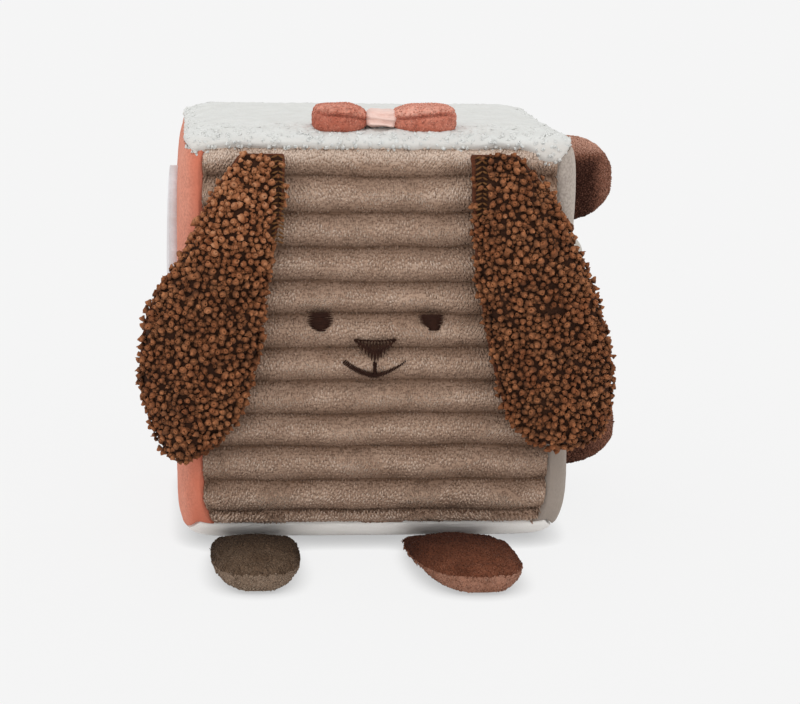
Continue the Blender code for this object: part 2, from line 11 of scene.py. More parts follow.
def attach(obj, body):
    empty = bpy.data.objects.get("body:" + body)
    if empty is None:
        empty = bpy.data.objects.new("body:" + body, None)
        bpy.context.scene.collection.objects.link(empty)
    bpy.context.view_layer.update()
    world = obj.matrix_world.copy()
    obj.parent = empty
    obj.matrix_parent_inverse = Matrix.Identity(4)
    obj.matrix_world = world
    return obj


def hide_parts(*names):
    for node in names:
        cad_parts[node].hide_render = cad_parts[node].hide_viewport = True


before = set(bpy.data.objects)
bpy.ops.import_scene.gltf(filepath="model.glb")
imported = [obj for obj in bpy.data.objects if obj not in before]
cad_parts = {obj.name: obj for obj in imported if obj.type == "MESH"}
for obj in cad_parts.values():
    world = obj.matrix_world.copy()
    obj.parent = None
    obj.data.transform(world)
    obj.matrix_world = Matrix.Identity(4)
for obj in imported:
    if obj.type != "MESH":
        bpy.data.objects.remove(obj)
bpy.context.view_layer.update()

mm = 0.001


def addObject(name, data):
    piece = bpy.data.objects.new(name, data)
    bpy.context.scene.collection.objects.link(piece)
    return piece


# The view, from a fit of the block's edges in the photograph
shot = {
    "aim": (0, 0, 65.25 * mm),
    "azimuth": -4.7,
    "elevation": 10.3,
    "roll": 0.85,
    "distance": 732 * mm,
    "focalPixels": 2200,
    "offset": (-36.6, -35.8),
    "pictureWidth": 800,
    "sensorWidth": 36,
    "clip": (0.01, 100),
}

camData = bpy.data.cameras.new("photoCamera")
cam = addObject("photoCamera", camData)
bpy.context.scene.camera = cam
camData.sensor_width = shot["sensorWidth"]
camData.lens = shot["focalPixels"] / shot["pictureWidth"] * camData.sensor_width
camData.shift_x = -shot["offset"][0] / shot["pictureWidth"]
camData.shift_y = shot["offset"][1] / shot["pictureWidth"]
camData.clip_start, camData.clip_end = shot["clip"]
turn = math.radians(shot["azimuth"])
rise = math.radians(shot["elevation"])
backWay = Vector((math.sin(turn) * math.cos(rise), -math.cos(turn) * math.cos(rise), math.sin(rise)))
cam.location = Vector(shot["aim"]) + backWay * shot["distance"]
roll = Matrix.Rotation(math.radians(shot["roll"]), 3, "Z")
cam.rotation_euler = ((-backWay).to_track_quat("-Z", "Y").to_matrix() @ roll).to_euler()

# The block's skin, the same rounded box that the solids follow
block = {
    "halfSize": (62.5 * mm, 57 * mm, 66.125 * mm),
    "middle": 65.375 * mm,
    "power": 7.5,
    "endPower": 12,
    "undersidePower": 5.2,
    "cornerFill": 0.55,
    "cornerPower": 4.5,
    "cover": 4.4 * mm,
    "innerRings": (1.0, 0.8, 0.45),
    "innerTone": 0.5,
    "seam": 0.25 * mm,
    "leftSeam": 0.9,
    "rightSeam": 0.91,
    "bottomSeam": 0.978,
    "seamWave": 0.012,
    "overhang": 0.018,
    "overhangWave": 0.014,
    "overhangCorners": (0.03, 0.1),
}


def skin(direction, inset=0.0):
    longest = max(abs(part) for part in direction)
    x, y, z = (abs(part) / longest for part in direction)
    power = block["power"] + (block["endPower"] - block["power"]) * z * z
    profileEnd = block["endPower"] if direction[2] > 0 else block["undersidePower"]
    profile = block["power"] + (profileEnd - block["power"]) * z * z
    total = (y ** profile + z ** profile) ** (power / profile) + x ** power
    total -= block["cornerFill"] * (x * y * z) ** block["cornerPower"]
    reach = total ** (-1 / power) / longest
    sizes = [half - inset for half in block["halfSize"]]
    place = [part * reach * size for part, size in zip(direction, sizes)]
    return Vector((place[0], place[1], max(place[2] + block["middle"], inset)))


panelWays = {
    "front": ((0, -1, 0), (1, 0, 0), (0, 0, 1)),
    "back": ((0, 1, 0), (-1, 0, 0), (0, 0, 1)),
    "left": ((-1, 0, 0), (0, -1, 0), (0, 0, 1)),
    "right": ((1, 0, 0), (0, 1, 0), (0, 0, 1)),
    "top": ((0, 0, 1), (1, 0, 0), (0, 1, 0)),
    "bottom": ((0, 0, -1), (1, 0, 0), (0, -1, 0)),
}
seamEdge = 1 - block["seam"] / (skin((1, 0, 1)) - Vector((0, 0, block["middle"]))).length


def panelWay(panel, u, v):
    # From the block's middle towards a spot on a panel, where u and v run from -1 to 1
    facing, across, upwards = (Vector(way) for way in panelWays[panel])
    u, v = u * seamEdge, v * seamEdge
    if panel == "bottom":
        return facing + (across * u + upwards * v) / block["bottomSeam"]
    if panel == "top":
        if v < 0:
            # The sherpa hangs over the front edge, lowest at the right corner
            left, right = block["overhangCorners"]
            corner = right * smooth((u - 0.72) / 0.2) + left * smooth((-u - 0.8) / 0.15)
            wave = block["overhangWave"] * noise.noise(Vector((u * 9, 0, 4)))
            v *= 1 + (corner + block["overhang"] + wave) * smooth(-v * 2 - 1)
        return facing + across * u + upwards * v
    if v < 0:
        # The cotton of the underside climbs all four sides
        v *= block["bottomSeam"]
    # The left and right panels reach round onto the front
    wave = block["seamWave"] * noise.noise(Vector((0, 0, v * 7)))
    left, right = block["leftSeam"] + wave, block["rightSeam"] + wave
    if panel == "front":
        u *= left if u < 0 else right
    if panel == "left" and u > 0:
        u /= left
    if panel == "right" and u < 0:
        u /= right
    return facing + across * u + upwards * (v * max(1.0, abs(u)))


def smooth(place):
    place = min(1.0, max(0.0, place))
    return place * place * (3 - 2 * place)


def between(place, low, high):
    return smooth((place - low) / (high - low))


def grain(spot, size, layer=0):
    # Noise between -1 and 1 with blobs of that size, different in every layer
    return noise.noise(Vector(spot) / size + Vector((layer * 7.3, layer * 3.1, layer * 5.7)))


def anyWay(rng):
    return Vector([rng.uniform(-1, 1) for _ in range(3)])


def colour(paint):
    # A colour as it looks, 0 to 255, for the shader
    parts = [part / 255 for part in paint]
    return tuple(((part + 0.055) / 1.055) ** 2.4 if part > 0.04 else part / 12.92 for part in parts) + (1.0,)


def setInputs(tree, node, inputs):
    # Inputs by name or number, each with a value or another node's output
    for key, value in inputs.items():
        if isinstance(value, bpy.types.NodeSocket):
            tree.links.new(value, node.inputs[key])
        else:
            node.inputs[key].default_value = value
    return node


def addNode(tree, kind, inputs):
    return setInputs(tree, tree.nodes.new("ShaderNode" + kind), inputs)


def fabric(name, look):
    # Colour from a large blotch, a fine nap and the piece's tone attribute, which mixes in painted shade
    # below 1 and painted light above 1; bump from the nap and a coarser lie
    look = plainFabric | look
    material = bpy.data.materials.new(name)
    material.use_nodes = True
    tree = material.node_tree
    coords = tree.nodes.new("ShaderNodeTexCoord")

    def pattern(size, detail):
        scale = [1 / (part * mm) for part in size]
        place = addNode(tree, "Mapping", {"Vector": coords.outputs["Object"], "Scale": scale})
        cloud = addNode(tree, "TexNoise", {"Vector": place.outputs["Vector"], "Scale": 1, "Detail": detail})
        return cloud.outputs["Fac"]

    def blend(kind, factor, first, second):
        mix = tree.nodes.new("ShaderNodeMix")
        mix.data_type = "RGBA"
        mix.blend_type = kind
        return setInputs(tree, mix, {0: factor, 6: first, 7: second}).outputs[2]

    def spread(factor, low, high):
        ramp = addNode(tree, "MapRange", {"Value": factor, "From Min": low, "From Max": high})
        return ramp.outputs["Result"]

    nap = pattern(look["nap"], 3)
    blotch = pattern(look["blotch"], 2)
    tint = blend("MIX", spread(blotch, *look["blotchRange"]), colour(look["dark"]), colour(look["light"]))
    tint = blend("MULTIPLY", look["napDepth"], tint, spread(nap, *look["napRange"]))
    # Painted shade towards the shade colour as the tone falls below 1, painted light towards the lit colour
    # as it rises from 1 to 2
    if "shade" in look:
        tone = tree.nodes.new("ShaderNodeAttribute")
        tone.attribute_name = "tone"
        tint = blend("MIX", tone.outputs["Fac"], colour(look["shade"]), tint)
        if "lit" in look:
            tint = blend("MIX", spread(tone.outputs["Fac"], 1, 2), tint, colour(look["lit"]))
    coarse = addNode(tree, "Bump", {
        "Strength": look["lie"], "Distance": look["lieHeight"] * mm,
        "Height": pattern([part * 4 for part in look["nap"]], 2),
    })
    fine = addNode(tree, "Bump", {
        "Strength": look["bump"], "Distance": look["height"] * mm, "Height": nap,
        "Normal": coarse.outputs["Normal"],
    })
    setInputs(tree, tree.nodes["Principled BSDF"], {
        "Base Color": tint, "Roughness": look["roughness"], "Specular IOR Level": look["gloss"],
        "Sheen Weight": look["sheen"], "Sheen Roughness": look["sheenRoughness"],
        "Sheen Tint": colour(look["light"]), "Normal": fine.outputs["Normal"],
    })
    return material


def keep(name, mesh, cloths, body, slot, *nodes, fill=None):
    # A finished mesh becomes a piece that rides on a body and stands for CAD nodes
    for look in cloths if isinstance(cloths, tuple) else [cloths]:
        mesh.materials.append(fabrics[look])
    mesh.shade_smooth()
    piece = addObject(name, mesh)
    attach(piece, body)
    if nodes:
        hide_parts(*nodes)
    return piece


def meshOf(name, shape):
    mesh = bpy.data.meshes.new(name)
    shape.to_mesh(mesh)
    shape.free()
    return mesh


def setTone(mesh, tones):
    # What the fabric mixes by, painted shade below 1 and painted light above it: one tone for each vertex, or
    # a single one for all
    values = np.full(len(mesh.vertices), tones, dtype=np.float32)
    mesh.attributes.new("tone", "FLOAT", "POINT").data.foreach_set("value", values)


def coverPanel(panel, columns, rows, relief, toneOf):
    # One face of the cover: a fine outer grid raised by its relief, closed behind by coarse rings
    shape = bmesh.new()
    bmesh.ops.create_grid(shape, x_segments=columns, y_segments=rows, size=1.0)
    places = shape.verts.layers.float_vector.new("place")
    for vert in shape.verts:
        vert[places] = vert.co
        vert.co = skin(panelWay(panel, vert.co.x, vert.co.y))
    outerVerts = list(shape.verts)
    facing = Vector(panelWays[panel][0])
    shape.normal_update()
    turned = -1 if sum(face.normal.dot(facing) for face in shape.faces) < 0 else 1
    loop = [edge for edge in shape.edges if edge.is_boundary]
    for share in block["innerRings"]:
        made = bmesh.ops.extrude_edge_only(shape, edges=loop)["geom"]
        for vert in made:
            if isinstance(vert, bmesh.types.BMVert):
                u, v = vert[places].x * share, vert[places].y * share
                vert.co = skin(panelWay(panel, u, v), block["cover"])
        loop = [edge for edge in made if isinstance(edge, bmesh.types.BMEdge) and edge.is_boundary]
    bmesh.ops.contextual_create(shape, geom=loop)
    moves, tones = [], []
    for vert in outerVerts:
        edge = min(1 - abs(vert[places].x), 1 - abs(vert[places].y))
        moves.append(vert.normal * turned * relief(vert.co, edge))
        tones.append(toneOf(vert.co))
    for vert, move in zip(outerVerts, moves):
        vert.co = vert.co + move
    tones += [block["innerTone"]] * (len(shape.verts) - len(outerVerts))
    bmesh.ops.recalc_face_normals(shape, faces=shape.faces)
    shape.verts.layers.float_vector.remove(places)
    mesh = meshOf(panel, shape)
    setTone(mesh, tones)
    return mesh


def softCopy(node, voxel, smoothings, shrink=0.0):
    # A node's form as one soft closed skin
    solid = bmesh.new()
    solid.from_mesh(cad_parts[node].data)
    bmesh.ops.remove_doubles(solid, verts=solid.verts, dist=0.01 * mm)
    bmesh.ops.recalc_face_normals(solid, faces=solid.faces)
    piece = addObject(node + "_soft", meshOf(node, solid))
    remesh = piece.modifiers.new("Remesh", "REMESH")
    remesh.mode = "VOXEL"
    remesh.voxel_size = voxel
    graph = bpy.context.evaluated_depsgraph_get()
    fresh = bpy.data.meshes.new_from_object(piece.evaluated_get(graph))
    bpy.data.objects.remove(piece)
    soft = bmesh.new()
    soft.from_mesh(fresh)
    bpy.data.meshes.remove(fresh)
    for _ in range(smoothings):
        bmesh.ops.smooth_vert(soft, verts=soft.verts, factor=0.5,
                              use_axis_x=True, use_axis_y=True, use_axis_z=True)
    if shrink:
        soft.normal_update()
        for vert in soft.verts:
            vert.co = vert.co - vert.normal * shrink
    return soft


def cubeGrid(cuts):
    # A cube from -1 to 1 with a fine grid on each face
    soft = bmesh.new()
    bmesh.ops.create_cube(soft, size=2.0)
    bmesh.ops.subdivide_edges(soft, edges=soft.edges, cuts=cuts, use_grid_fill=True)
    return soft


def blockReach(way, power):
    # How far a rounded block of half size one reaches along a unit direction
    return sum(abs(part) ** power for part in way) ** (-1 / power)


def scatter(mesh, count, rng):
    # Points spread evenly over a mesh by area, with their normals
    mesh.calc_loop_triangles()
    corners = np.empty(len(mesh.loop_triangles) * 3, dtype=np.int64)
    mesh.loop_triangles.foreach_get("vertices", corners)
    corners = corners.reshape(-1, 3)
    spots = np.empty(len(mesh.vertices) * 3)
    mesh.vertices.foreach_get("co", spots)
    spots = spots.reshape(-1, 3)
    ways = np.array([vert.normal for vert in mesh.vertices])
    a, b, c = (spots[corners[:, k]] for k in range(3))
    total = np.cumsum(np.linalg.norm(np.cross(b - a, c - a), axis=1))
    picks = np.searchsorted(total, (np.arange(count) + rng.random(count)) / count * total[-1])
    picks = np.minimum(picks, len(corners) - 1)
    first, second = rng.random(count), rng.random(count)
    folded = first + second > 1
    first[folded], second[folded] = 1 - first[folded], 1 - second[folded]
    third = 1 - first - second
    shares = (third[:, None], first[:, None], second[:, None])
    points = sum(share * spots[corners[picks, k]] for k, share in enumerate(shares))
    normals = sum(share * ways[corners[picks, k]] for k, share in enumerate(shares))
    return points, normals / np.linalg.norm(normals, axis=1)[:, None]


def stampAll(name, template, matrices, tones, profile=None, kinds=None):
    # Many copies of a template in one mesh, each with its tone, a profile of painted shade and light along
    # each copy where one is given, and its material where there are kinds
    big = bmesh.new()
    for matrix in matrices:
        part = template.copy()
        part.transform(matrix)
        big.from_mesh(part)
        bpy.data.meshes.remove(part)
    mesh = meshOf(name, big)
    shades = np.repeat(tones, len(template.vertices))
    setTone(mesh, shades if profile is None else shades + np.tile(profile, len(tones)))
    if kinds is not None:
        choices = np.repeat(np.array(kinds, dtype=np.int32), len(template.polygons))
        mesh.polygons.foreach_set("material_index", choices)
    return mesh


def standing(point, normal, towards, size):
    # Places a template with its Z along the normal and its X near another direction
    z = Vector(normal).normalized()
    y = z.cross(Vector(towards)).normalized()
    x = y.cross(z)
    turned = Matrix((x, y, z)).transposed().to_4x4()
    return Matrix.Translation(point) @ turned @ Matrix.Diagonal((size[0], size[1], size[2], 1))


def curlTemplate(segments=4, ring=0.46, thick=0.36, turned=560, rise=0.62, steps=11):
    # One curl of pile wound up to a closed bud, 1.6 units across
    curl = bmesh.new()
    bmesh.ops.create_circle(curl, segments=segments, radius=thick)
    bmesh.ops.rotate(curl, verts=curl.verts, cent=(0, 0, 0), matrix=Matrix.Rotation(math.pi / 2, 3, "X"))
    bmesh.ops.translate(curl, verts=curl.verts, vec=(ring, 0, 0))
    firstLoop = list(curl.edges)
    made = bmesh.ops.spin(curl, geom=curl.verts[:] + curl.edges[:], cent=(0, 0, 0), axis=(0, 0, 1),
                          dvec=(0, 0, rise / steps), angle=math.radians(turned), steps=steps)
    lastLoop = [item for item in made["geom_last"] if isinstance(item, bmesh.types.BMEdge)]
    bmesh.ops.contextual_create(curl, geom=firstLoop)
    bmesh.ops.contextual_create(curl, geom=lastLoop)
    bmesh.ops.recalc_face_normals(curl, faces=curl.faces)
    for vert in curl.verts:
        narrow = 1 - 0.55 * smooth(vert.co.z / rise)
        vert.co.x *= narrow
        vert.co.y *= narrow
    return meshOf("curl", curl)


def puffTemplate():
    # One soft blob of fluff, a unit across
    puff = bmesh.new()
    bmesh.ops.create_uvsphere(puff, u_segments=8, v_segments=6, radius=0.5)
    return meshOf("puff", puff)


def lockTemplate(wide=0.5, tip=0.16, flat=0.3, slant=0.2, bend=0.5):
    # One tuft of pile, one unit long, its root at the origin and leaning over towards +X
    lock = bmesh.new()
    bmesh.ops.create_cone(lock, cap_ends=True, segments=4, radius1=wide, radius2=tip, depth=1.0)
    for vert in lock.verts:
        x, y, along = vert.co.x, vert.co.y, vert.co.z + 0.5
        vert.co = Vector((along + x * slant, y, x * flat + bend * along * (1 - along)))
    bmesh.ops.recalc_face_normals(lock, faces=lock.faces)
    return meshOf("lock", lock)


def thread(shape, start, end, thick, lift):
    # One stitch: a rounded thread lying on the pile, highest in its middle
    way = Vector(end) - Vector(start)
    out = Vector((0, -1, 0))
    side = way.cross(out).normalized()
    for vert in bmesh.ops.create_uvsphere(shape, u_segments=6, v_segments=7, radius=1.0)["verts"]:
        across, depth, along = vert.co
        ring = min(1.0, math.sqrt(max(0.0, 1 - along ** 6)) + 0.05)
        middle = (Vector(start) + Vector(end)) / 2 + way * (along / 2)
        raised = middle + out * (lift * (1 - along * along))
        vert.co = raised + side * across * thick * ring + out * depth * thick * ring


print("fabrics")
plainFabric = {
    "blotchRange": (0.32, 0.68), "napRange": (0.34, 0.62), "lie": 0.3, "lieHeight": 0.8, "roughness": 0.9,
    "gloss": 0.25, "sheenRoughness": 0.5,
}
velour = {"nap": (0.7, 0.7, 0.8), "bump": 0.5, "height": 0.25}
deepPile = {"nap": (0.5, 0.5, 0.5), "napDepth": 0.4, "bump": 0.8, "height": 0.3, "lie": 0.5}
solePile = deepPile | {"blotch": (5, 4, 4), "napDepth": 0.35, "bump": 0.7, "sheen": 0.15}
flatCloth = {"nap": (0.35, 0.35, 0.35), "height": 0.1, "lie": 0.1}
stitching = {
    "blotch": (2, 2, 2), "nap": (0.3, 0.12, 0.12), "napDepth": 0.3, "bump": 0.4, "height": 0.06, "sheen": 0.0,
}
plastic = {"napDepth": 0.05, "gloss": 0.5, "sheen": 0.0}
looks = {
    "plush": {
        "dark": (170, 140, 119), "light": (188, 159, 138), "shade": (102, 76, 59), "lit": (228, 208, 192),
        "blotch": (14, 14, 6), "nap": (0.5, 0.5, 0.4), "napDepth": 0.35, "bump": 0.6, "height": 0.25,
        "lie": 0.35, "lieHeight": 0.4, "sheen": 0.2,
    },
    "sherpa": {
        "dark": (214, 215, 212), "light": (221, 222, 219), "shade": (200, 190, 181), "lit": (240, 240, 238),
        "blotch": (7, 7, 7), "nap": (0.5, 0.5, 0.5), "napDepth": 0.05, "bump": 0.3, "height": 0.12,
        "lie": 0.15, "sheen": 0.35,
    },
    "coral": velour | {
        "dark": (206, 132, 110), "light": (220, 148, 126), "shade": (204, 114, 88), "blotch": (8, 8, 14),
        "napDepth": 0.25, "sheen": 0.4,
    },
    "greyVelour": velour | {
        "dark": (178, 166, 156), "light": (190, 178, 167), "shade": (146, 134, 124), "blotch": (9, 9, 12),
        "napDepth": 0.3, "sheen": 0.3,
    },
    "backVelour": {
        "dark": (166, 137, 118), "light": (174, 145, 126), "shade": (122, 98, 82), "blotch": (9, 9, 7),
        "nap": (0.6, 0.6, 0.6), "napDepth": 0.4, "bump": 0.6, "height": 0.25, "sheen": 0.25,
    },
    "whiteCotton": flatCloth | {
        "dark": (244, 240, 235), "light": (250, 247, 243), "blotch": (14, 14, 14), "napDepth": 0.05,
        "bump": 0.15, "sheen": 0.1,
    },
    "earCloth": {
        "dark": (66, 36, 18), "light": (84, 48, 25), "shade": (38, 19, 9), "blotch": (6, 6, 6),
        "nap": (0.5, 0.5, 0.5), "napDepth": 0.5, "bump": 0.5, "height": 0.3, "sheen": 0.03,
    },
    "curls": {
        "dark": (154, 92, 56), "light": (184, 121, 80), "shade": (31, 13, 4), "lit": (216, 164, 126),
        "blotch": (7, 7, 7), "nap": (0.35, 0.2, 0.35), "napDepth": 0.35, "bump": 0.5, "height": 0.12,
        "sheen": 0.05,
    },
    "taupe": deepPile | {
        "dark": (94, 73, 55), "light": (108, 87, 69), "shade": (46, 32, 20), "lit": (152, 130, 110),
        "blotch": (6, 5, 5), "sheen": 0.03,
    },
    # The soles are lighter copies of the top pile, painted light as if lit from the floor
    "taupeSoleLit": solePile | {
        "dark": (132, 111, 93), "light": (152, 130, 111), "shade": (90, 72, 57), "lit": (186, 166, 148),
    },
    "brown": deepPile | {
        "dark": (102, 56, 35), "light": (118, 68, 46), "shade": (56, 24, 11), "lit": (166, 112, 88),
        "blotch": (6, 5, 5), "sheen": 0.02,
    },
    "brownSoleLit": solePile | {
        "dark": (154, 107, 85), "light": (174, 126, 104), "shade": (106, 64, 44), "lit": (196, 156, 136),
    },
    "tabBrown": deepPile | {
        "dark": (138, 90, 70), "light": (156, 106, 86), "shade": (52, 23, 12), "lit": (206, 160, 140),
        "blotch": (4, 4, 4), "sheen": 0.05,
    },
    "salmon": {
        "dark": (206, 124, 101), "light": (230, 156, 134), "shade": (164, 84, 64), "lit": (240, 186, 168),
        "blotch": (5, 5, 5), "nap": (0.8, 0.7, 0.7), "napDepth": 0.45, "bump": 0.7, "height": 0.35,
        "sheen": 0.3,
    },
    "satin": {
        "dark": (232, 196, 184), "light": (243, 212, 200), "blotch": (4, 4, 4), "nap": (0.15, 1.2, 0.15),
        "napDepth": 0.06, "bump": 0.1, "height": 0.08, "lie": 0.2, "roughness": 0.38, "gloss": 0.5,
        "sheen": 0.2,
    },
    "thread": stitching | {
        "dark": (46, 23, 14), "light": (58, 31, 19), "shade": (32, 15, 8), "roughness": 0.7, "gloss": 0.15,
    },
    "goldThread": stitching | {
        "dark": (122, 82, 48), "light": (152, 108, 68), "shade": (80, 50, 26), "roughness": 0.8, "gloss": 0.1,
    },
    "paleCloth": flatCloth | {
        "dark": (214, 208, 208), "light": (228, 224, 226), "blotch": (12, 12, 16), "napDepth": 0.06,
        "bump": 0.12, "sheen": 0.2,
    },
    "whiteCloth": flatCloth | {
        "dark": (196, 190, 181), "light": (210, 205, 198), "blotch": (12, 12, 16), "napDepth": 0.08,
        "bump": 0.15, "lie": 0.15, "sheen": 0.2,
    },
    "foam": {
        "dark": (226, 220, 196), "light": (236, 230, 208), "blotch": (20, 20, 20), "nap": (0.9, 0.9, 0.9),
        "napDepth": 0.25, "bump": 0.7, "height": 0.4, "sheen": 0.0,
    },
    "stuffing": {
        "dark": (232, 230, 226), "light": (244, 243, 240), "blotch": (5, 5, 5), "nap": (1.4, 0.3, 0.5),
        "napDepth": 0.2, "bump": 0.6, "height": 0.4, "sheen": 0.3,
    },
    "film": plastic | {
        "dark": (214, 216, 218), "light": (228, 230, 232), "blotch": (5, 5, 5), "nap": (2.2, 2.2, 2.2),
        "bump": 0.5, "height": 0.3, "roughness": 0.3,
    },
    "shellPlastic": plastic | {
        "dark": (226, 226, 222), "light": (234, 234, 230), "blotch": (12, 12, 12), "nap": (0.25, 0.25, 0.25),
        "bump": 0.06, "height": 0.03, "roughness": 0.42,
    },
    "beadPlastic": plastic | {
        "dark": (206, 92, 74), "light": (216, 104, 84), "blotch": (3, 3, 3), "nap": (0.2, 0.2, 0.2),
        "bump": 0.05, "height": 0.02, "roughness": 0.3,
    },
}
fabrics = {name: fabric(name, look) for name, look in looks.items()}

print("front plush")
frontPlush = {
    "grooves": (7.7, 12.0, 23.0, 34.4, 44.6, 55.05, 65.15, 75.8, 85.8, 96.7, 107.5, 118.4, 129.5),
    "waver": 0.96,
    "waverLength": 22 * mm,
    "depth": 2.4 * mm,
    "roundness": 0.55,
    "dents": 0.3 * mm,
    "smallDents": 0.2 * mm,
    "nap": 0.1 * mm,
    "seamDrop": 0.45 * mm,
    "columns": 210,
    "rows": 232,
    "lockColumns": 94,
    "lockRows": 128,
    "lockMargin": 0.985,
    "lockLong": (1.0, 1.6),
    "lockWide": (0.85, 1.3),
    "lockHigh": 1.7 * mm,
}


def ribPlace(spot):
    # How far across its rib a point lies, -1 and 1 in the grooves, and how deep these are there
    height = spot[2] / mm
    grooves = []
    for index, groove in enumerate(frontPlush["grooves"]):
        waver = grain((spot[0], 0, 0), frontPlush["waverLength"], index + 1)
        grooves.append(groove + frontPlush["waver"] * waver)
    index = int(np.searchsorted(grooves, height))
    if index == 0 or index == len(grooves):
        return 0.0, 0.0
    low, high = grooves[index - 1], grooves[index]
    across = 2 * (height - low) / (high - low) - 1
    width = min(1.0, (high - low) / 9)
    return across, width


def plushRelief(spot, edge):
    across, width = ribPlace(spot)
    crown = (0.5 + 0.5 * math.cos(math.pi * across)) ** frontPlush["roundness"] - 1
    crown -= 0.2 * between(abs(across), 0.86, 1.0)
    dents = frontPlush["dents"] * grain(spot, 11 * mm, 20)
    dents += frontPlush["smallDents"] * grain((spot.x, 0, spot.z * 1.6), 4 * mm, 21)
    nap = frontPlush["nap"] * grain(spot, 0.8 * mm, 22)
    seam = smooth(edge / 0.05)
    rib = frontPlush["depth"] * width * crown * (0.55 + 0.45 * seam)
    return rib + (dents + nap) * seam - frontPlush["seamDrop"] * (1 - seam)


def plushTone(spot):
    # Painted light on the rib crowns and under the sherpa's edge, where the top rib faces up, and painted
    # shade in the grooves
    across, width = ribPlace(spot)
    crestLight = 0.5 + 0.5 * math.cos(math.pi * min(1.0, max(-1.0, across + 0.04)))
    # Painted light on the upward-facing ribs near the top
    top = 0.85 * between(spot.z, 121 * mm, 128 * mm) + 0.12 * between(spot.z, 108 * mm, 112 * mm)
    grooveShade = 0.3 * width * between(abs(across), 0.8, 0.97)
    return 0.42 + 0.62 * (1 - width * (1 - crestLight)) - grooveShade + top + 0.16 * grain(spot, 8 * mm, 23)


frontMesh = coverPanel("front", frontPlush["columns"], frontPlush["rows"], plushRelief, plushTone)
rng = np.random.default_rng(11)
lock = lockTemplate()
# Each tuft is painted in shade at its root and painted lighter, as a highlight, towards its tip
lockShadeAndLight = np.array([-0.45 + 0.95 * vert.co.x for vert in lock.vertices])
surface = BVHTree.FromPolygons([vert.co for vert in frontMesh.vertices],
                               [face.vertices for face in frontMesh.polygons])
spots, tones = [], []
for row in range(frontPlush["lockRows"]):
    for column in range(frontPlush["lockColumns"]):
        # Rows of little scales, every other row set over by half, all a little out of place
        u = (column + 0.5 * (row % 2) + rng.uniform(-0.3, 0.3)) / frontPlush["lockColumns"] * 2 - 1
        v = (row + rng.uniform(-0.35, 0.35)) / frontPlush["lockRows"] * 2 - 1
        way = panelWay("front", u * frontPlush["lockMargin"], v * frontPlush["lockMargin"])
        point, normal = surface.ray_cast(skin(way) + Vector((0, -6 * mm, 0)), Vector((0, 1, 0)))[:2]
        if point is None:
            continue
        lean = 90 + 50 * grain(point, 12 * mm, 24) + 35 * grain(point, 2.5 * mm, 25)
        if grain(point, 16 * mm, 26) > 0.1:
            lean += 180
        towards = Vector((math.cos(math.radians(lean)), 0, math.sin(math.radians(lean))))
        long = rng.uniform(*frontPlush["lockLong"]) * mm
        wide = rng.uniform(*frontPlush["lockWide"]) * mm
        spots.append(standing(point, normal, towards, (long, wide, frontPlush["lockHigh"])))
        tones.append(plushTone(point) - 0.1 + 0.3 * rng.random())
plushLocks = stampAll("front_plush_pile", lock, spots, tones, lockShadeAndLight)
keep("front_plush", frontMesh, "plush", "block", "ribbed_plush", "front_panel", fill=0.7)
keep("front_plush_pile", plushLocks, "plush", "block", "ribbed_plush")

print("top sherpa and side panels")
topSherpa = {
    "clump": 4.5 * mm,
    "swell": 0.4 * mm,
    "height": 0.9 * mm,
    "puffs": 2400,
    "puffWide": (1.8, 3.6),
    "puffHigh": (0.14, 0.24),
    "curls": 420,
    "curlSize": (0.7, 1.1),
    "frontZone": -50 * mm,
}
puff = puffTemplate()
curl = curlTemplate()


def sherpaRelief(spot, edge):
    clumps = topSherpa["swell"] * grain(spot, topSherpa["clump"], 31) + 0.3 * mm * grain(spot, 2 * mm, 32)
    return topSherpa["height"] * smooth(edge / 0.012) + clumps * smooth(edge / 0.03)


def sherpaTone(spot):
    # The sherpa hanging over the front edge is painted in shade
    hangingShade = between(-spot.z, -130 * mm, -126 * mm)
    return 0.95 + 0.15 * grain(spot, topSherpa["clump"], 31) - 0.5 * hangingShade


topMesh = coverPanel("top", 150, 150, sherpaRelief, sherpaTone)
rng = np.random.default_rng(12)
points, normals = scatter(topMesh, topSherpa["puffs"] * 3, rng)
spots, tones, curled = [], [], ([], [])
for index in rng.permutation(len(points)):
    # Small curls along the front edge, and flat puffs near the other edges
    point, normal = Vector(points[index]), Vector(normals[index])
    away, towards = anyWay(rng), anyWay(rng)
    inFront = point.y < topSherpa["frontZone"]
    nearEdge = abs(point.x) > 54 * mm or abs(point.y) > 46 * mm or point.y < -34 * mm
    if point.z < 112 * mm or (normal.z < 0.1 and point.y > topSherpa["frontZone"] and abs(point.x) < 55 * mm):
        continue
    if inFront and len(curled[0]) < topSherpa["curls"]:
        size = rng.uniform(*topSherpa["curlSize"]) * mm
        sunk = normal * rng.uniform(0.0, 0.3) * mm
        sag = Vector((0, 0, 0.6 * mm * rng.random() * (1 - normal.z)))
        stretch = (size * rng.uniform(1, 1.5), size, size)
        curled[0].append(standing(point - sunk - sag, normal + away * 0.6, towards, stretch))
        curled[1].append(sherpaTone(point) + 0.25 * rng.random())
    elif nearEdge and len(spots) < topSherpa["puffs"]:
        wide = rng.uniform(*topSherpa["puffWide"]) * mm
        high = wide * rng.uniform(*topSherpa["puffHigh"])
        stretch = (wide, wide * rng.uniform(0.5, 0.85), high)
        spots.append(standing(point - normal * 0.2 * high, normal + away * 0.15, towards, stretch))
        tones.append(sherpaTone(point) + 0.1 * rng.random())
sherpaPuffs = stampAll("sherpaPuffs", puff, spots, tones)
# Each edge curl is painted lighter towards its top, as painted light from above
edgePuffs = stampAll("edgePuffs", curl, *curled, np.array([0.35 * vert.co.z for vert in curl.vertices]))
keep("top_sherpa", topMesh, "sherpa", "block", "sherpa", "top_panel", fill=0.7)
keep("top_sherpa_pile", sherpaPuffs, "sherpa", "block", "sherpa")
keep("top_sherpa_edge", edgePuffs, "sherpa", "block", "sherpa")

